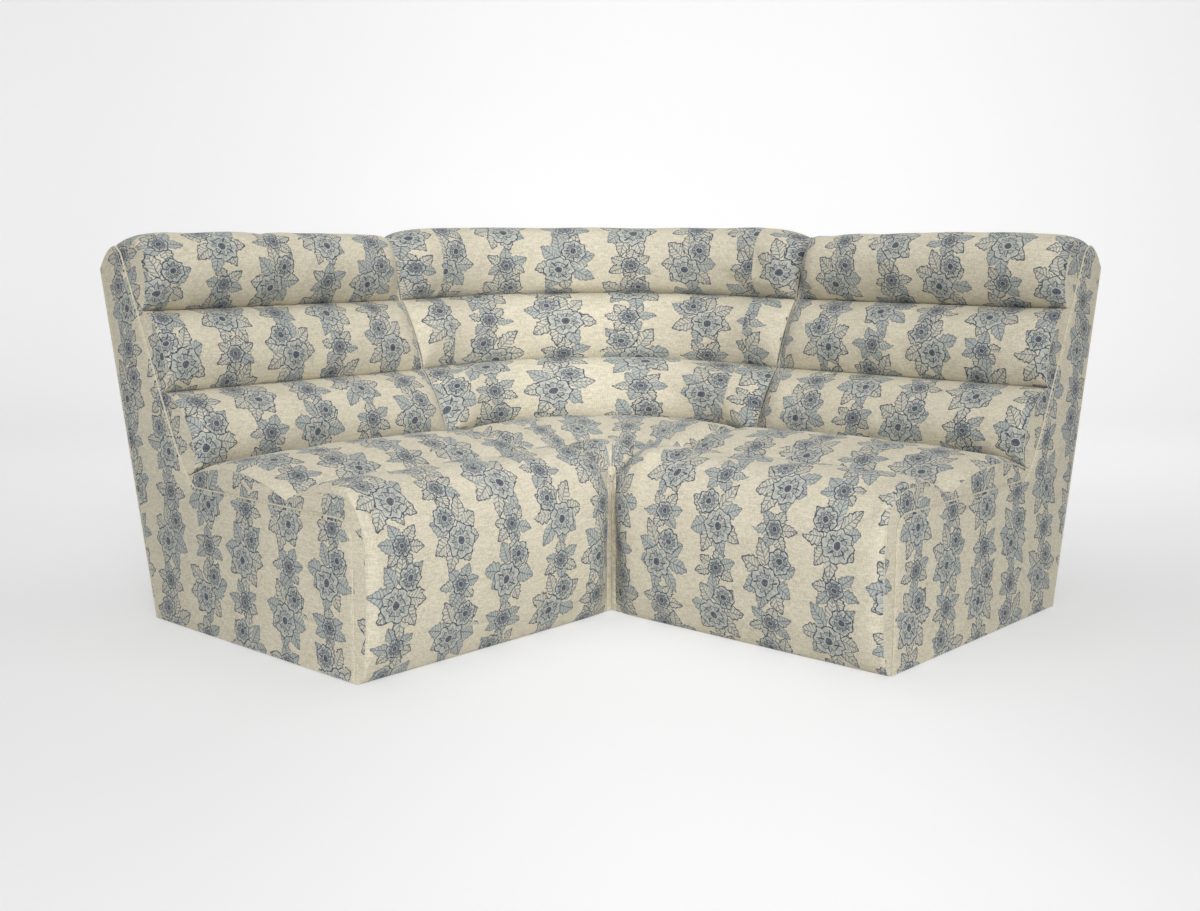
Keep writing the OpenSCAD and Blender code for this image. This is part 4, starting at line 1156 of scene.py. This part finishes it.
def stretched_over(values, known, places):
    """Vectors known at some places along their first axis, filled in at all places."""
    return np.stack([[np.interp(places, places[known], line) for line in values[:, :, k].T]
                     for k in range(3)], axis=-1).transpose(1, 0, 2)


def smoothed(values, rounds=4):
    """The same vectors with each one drawn towards its neighbours, and the border kept."""
    for _ in range(rounds):
        for _ in range(2):
            inner = values[1:-1] / 2 + (values[:-2] + values[2:]) / 4
            values = np.concatenate([values[:1], inner, values[-1:]]).transpose(1, 0, 2)
    return values


def blow_up(covers):
    """Runs the cloth of all covers at once and moves their points as it did, at most by CLOTH_GIVE."""
    runs = []
    for obj, rings, face_count in covers:
        row_places = lengths(rings[:, face_count // 2])
        col_places = lengths(rings[len(rings) // 2, :face_count])
        rows, cols = picked(row_places, CLOTH_STEP), picked(col_places, CLOTH_STEP)
        base = np.arange(face_count, rings.shape[1])
        grid = rings[np.ix_(rows, np.concatenate([cols, base]))]
        copy = cloth_copy(f"{obj.name}_cloth", grid, len(cols))
        runs.append((obj, rings, row_places, col_places, rows, cols, grid, copy))
    scene = bpy.context.scene
    for number in range(1, CLOTH_FRAMES + 1):
        scene.frame_set(number)
    graph = bpy.context.evaluated_depsgraph_get()
    for obj, rings, row_places, col_places, rows, cols, grid, copy in runs:
        result = np.empty(grid.size, np.float32)
        copy.evaluated_get(graph).data.vertices.foreach_get("co", result)
        moved = (result.reshape(grid.shape) - grid)[:, :len(cols)]
        size = np.maximum(np.linalg.norm(moved, axis=2, keepdims=True), 1e-9)
        moved = moved / size * CLOTH_GIVE * np.tanh(size / CLOTH_GIVE)
        moved = stretched_over(moved, rows, row_places).transpose(1, 0, 2)
        moved = stretched_over(moved, cols, col_places).transpose(1, 0, 2)
        shape = rings.copy()
        shape[:, :len(col_places)] += smoothed(moved)
        obj.data.vertices.foreach_set("co", shape.reshape(-1).astype(np.float32))
        obj.data.update()
        bpy.data.objects.remove(copy)
    scene.frame_set(1)


blow_up(covers)

# Piping and topstitching
for side, name in SIDE_NAMES.items():
    parts = [tube("cord_outer", cord_line(side, MODULE_W - OUTER_CORD_IN), CORD_R),
             tube("cord_inner", cord_line(side, JOINT_HALF + INNER_CORD_IN), CORD_R * 1.2)]
    dressed(joined(f"{name}_piping_cords", parts), f"{name}_module", plain, f"{name}_piping")
    dressed(tube(f"{name}_topstitch", seam_line(side, MODULE_W), STITCH_R, 6), f"{name}_module",
            plain)
FRONT_CORNER_END = nearest_index(OUTLINE, np.array([0, SEAM_H - PANEL_CORNER_R])) + 6
parts = [tube("cord_side", cord_line(side, -JOINT_HALF - CORNER_CORD_IN, FRONT_CORNER_END), CORD_R)
         for side in (-1, 1)]
dressed(joined("corner_piping_cords", parts), "corner_module", plain, "corner_piping")

# Seams along the ends of the pads
for body, seams in edge_seams.items():
    dressed(joined(f"{body}_edge_seams", seams), body, plain)

# Looks of the nodes that keep their shape


def plain_finish(name, colour, roughness, metallic=0.0, grain=None):
    """A material with object coordinates; grain is (scale, stretch, second colour, bump in metres)."""
    material, tree, bsdf = new_material(name)
    feed_all(bsdf, {"Base Color": (*colour, 1), "Roughness": roughness, "Metallic": metallic})
    if grain:
        scale, stretch, second, height = grain
        place = node_with(tree, "TexCoord", {}).outputs["Object"]
        place = node_with(tree, "Mapping", {"Vector": place, "Scale": stretch}).outputs[0]
        tone, _, _ = noise(place, scale, 4.0, 0.6)
        feed(bsdf.inputs["Base Color"], blended(fade(tone, 0.35, 0.65), second, colour))
        bumped(bsdf, tone, 0.4, height)
    return material


EVEN = (1, 1, 1)
WOOD_GRAIN = (14.0, (1, 1, 6), (0.44, 0.27, 0.13), 0.0006)
FOAM_GRAIN = (160.0, EVEN, (0.72, 0.63, 0.40), 0.0012)
WEBBING_GRAIN = (300.0, EVEN, (0.06, 0.06, 0.065), 0.0008)
DUST_GRAIN = (400.0, EVEN, (0.035, 0.035, 0.035), 0.0004)
STEEL_GRAIN = (60.0, EVEN, (0.52, 0.53, 0.52), 0.0002)
finishes = {
    "timber": plain_finish("softwood", (0.56, 0.38, 0.20), 0.6, 0, WOOD_GRAIN),
    "foam": plain_finish("foam", (0.80, 0.72, 0.48), 0.95, 0, FOAM_GRAIN),
    "webbing": plain_finish("webbing", (0.035, 0.035, 0.04), 0.85, 0, WEBBING_GRAIN),
    "dust_cloth": plain_finish("dust_cloth", (0.02, 0.02, 0.02), 0.95, 0, DUST_GRAIN),
    "nylon": plain_finish("nylon", (0.045, 0.04, 0.036), 0.4),
    "zinc_steel": plain_finish("zinc_steel", (0.60, 0.60, 0.58), 0.32, 1.0, STEEL_GRAIN),
}
slot_of = {row["node"]: row["material_slot"] for row in frame["record"]["subparts"]}
for node, obj in frame["nodes"].items():
    finish = finishes.get(slot_of[node])
    if finish:
        obj.data.materials.clear()
        obj.data.materials.append(finish)


# Stage

def seen_rays(tree):
    """1 for rays from the camera and in reflections or through glass, 0 for the rest."""
    rays = node_with(tree, "LightPath", {}).outputs
    mirrored = larger(Num(rays["Is Glossy Ray"]), Num(rays["Is Transmission Ray"]))
    return larger(Num(rays["Is Camera Ray"]), mirrored)


def sweep():
    """Floor and backdrop in one bent sheet."""
    bend, reach, height = 1.6, 3.2, 5.0
    line = [(-7.0, 0.0), (reach, 0.0)]
    line += [(reach + bend * math.sin(q), bend * (1 - math.cos(q)))
             for q in np.linspace(0, math.pi / 2, 24)[1:]]
    line += [(reach + bend, height)]
    points = [(x, y, z) for y, z in line for x in (-9.0, 9.0)]
    faces = [[2 * k, 2 * k + 1, 2 * k + 3, 2 * k + 2] for k in range(len(line) - 1)]
    mesh = bpy.data.meshes.new("sweep")
    mesh.from_pydata(points, [], faces)
    mesh.polygons.foreach_set("use_smooth", [True] * len(faces))
    obj = placed("sweep", mesh)
    material, tree, bsdf = new_material("sweep")
    feed_all(bsdf, {"Base Color": (0.9, 0.9, 0.9, 1), "Roughness": 0.9, "Specular IOR Level": 0.1})
    # Part of it looks lit evenly, by a glow that holds painted light: a painted pool of light on the floor
    # before the sofa, a wide painted band of light on the backdrop, and painted light that grows from the
    # near floor towards the backdrop
    x, y = split_up(node_with(tree, "NewGeometry", {}).outputs["Position"])
    # Painted light: the glow grows from the near floor towards the backdrop
    back = 1 - fade(y, -0.4, 2.3)
    # A painted pool of light on the floor before the sofa
    painted_light_pool = fade(hypot(x - 0.16, (y + 1.2) * 0.5), 0.1, 1.0)
    # A wide painted band of light on the backdrop
    painted_light_band = fade(size_of(x - 1.0), 0.4, 3.9)
    glow = 0.865 + 0.2 * back + 0.2 * painted_light_pool + 0.23 * painted_light_band * back
    share = seen_rays(tree) * 0.5
    emission = node_with(tree, "Emission", {"Strength": glow}).outputs[0]
    mixed = node_with(tree, "MixShader", {0: share, 1: bsdf.outputs[0], 2: emission}).outputs[0]
    feed(tree.nodes["Material Output"].inputs["Surface"], mixed)
    mesh.materials.append(material)


def soft_light(name, place, aim, width, height, power, spread=180):
    light = bpy.data.lights.new(name, "AREA")
    light.shape = "RECTANGLE"
    light.size = width
    light.size_y = height
    light.energy = power
    light.spread = math.radians(spread)
    obj = placed(name, light)
    obj.location = place
    obj.rotation_euler = (Vector(aim) - Vector(place)).to_track_quat("-Z", "Y").to_euler()


sweep()
soft_light("front", (0, -2.9, 1.5), (0, 0.2, 0.45), 2.4, 1.4, 30)
soft_light("left", (-2.6, -2.9, 1.8), (0, 0, 0.45), 1.6, 1.6, 8.5)
soft_light("top", (0, 0.2, 3.4), (0, 0, 0), 4.0, 3.0, 51)
soft_light("middle", (0.2, -3.3, 0.9), (-0.1, 0.3, 0.56), 0.8, 0.3, 0.95, spread=22)
sun = bpy.data.lights.new("sun", "SUN")
sun.energy = 1.38
sun.angle = math.radians(30)
placed("sun", sun).rotation_euler = (math.radians(65), 0, math.radians(8))

world = bpy.data.worlds.new("studio")
bpy.context.scene.world = world
world.use_nodes = True
background = world.node_tree.nodes["Background"]
background.inputs["Color"].default_value = (1, 1, 1, 1)
feed(background.inputs["Strength"], 0.06 + seen_rays(world.node_tree) * 0.82)

# Camera, fitted to the photograph
CAMERA_YAW = 2.79
CAMERA_PITCH = 8.929
camera = bpy.data.cameras.new("camera")
camera.sensor_width = 36
camera.lens = 42.67
view = placed("camera", camera)
view.location = (-0.1886, -3.5504, 0.900)
view.rotation_euler = (math.radians(90 - CAMERA_PITCH), 0, math.radians(-CAMERA_YAW))
bpy.context.scene.camera = view
bpy.context.scene.view_settings.view_transform = "Standard"
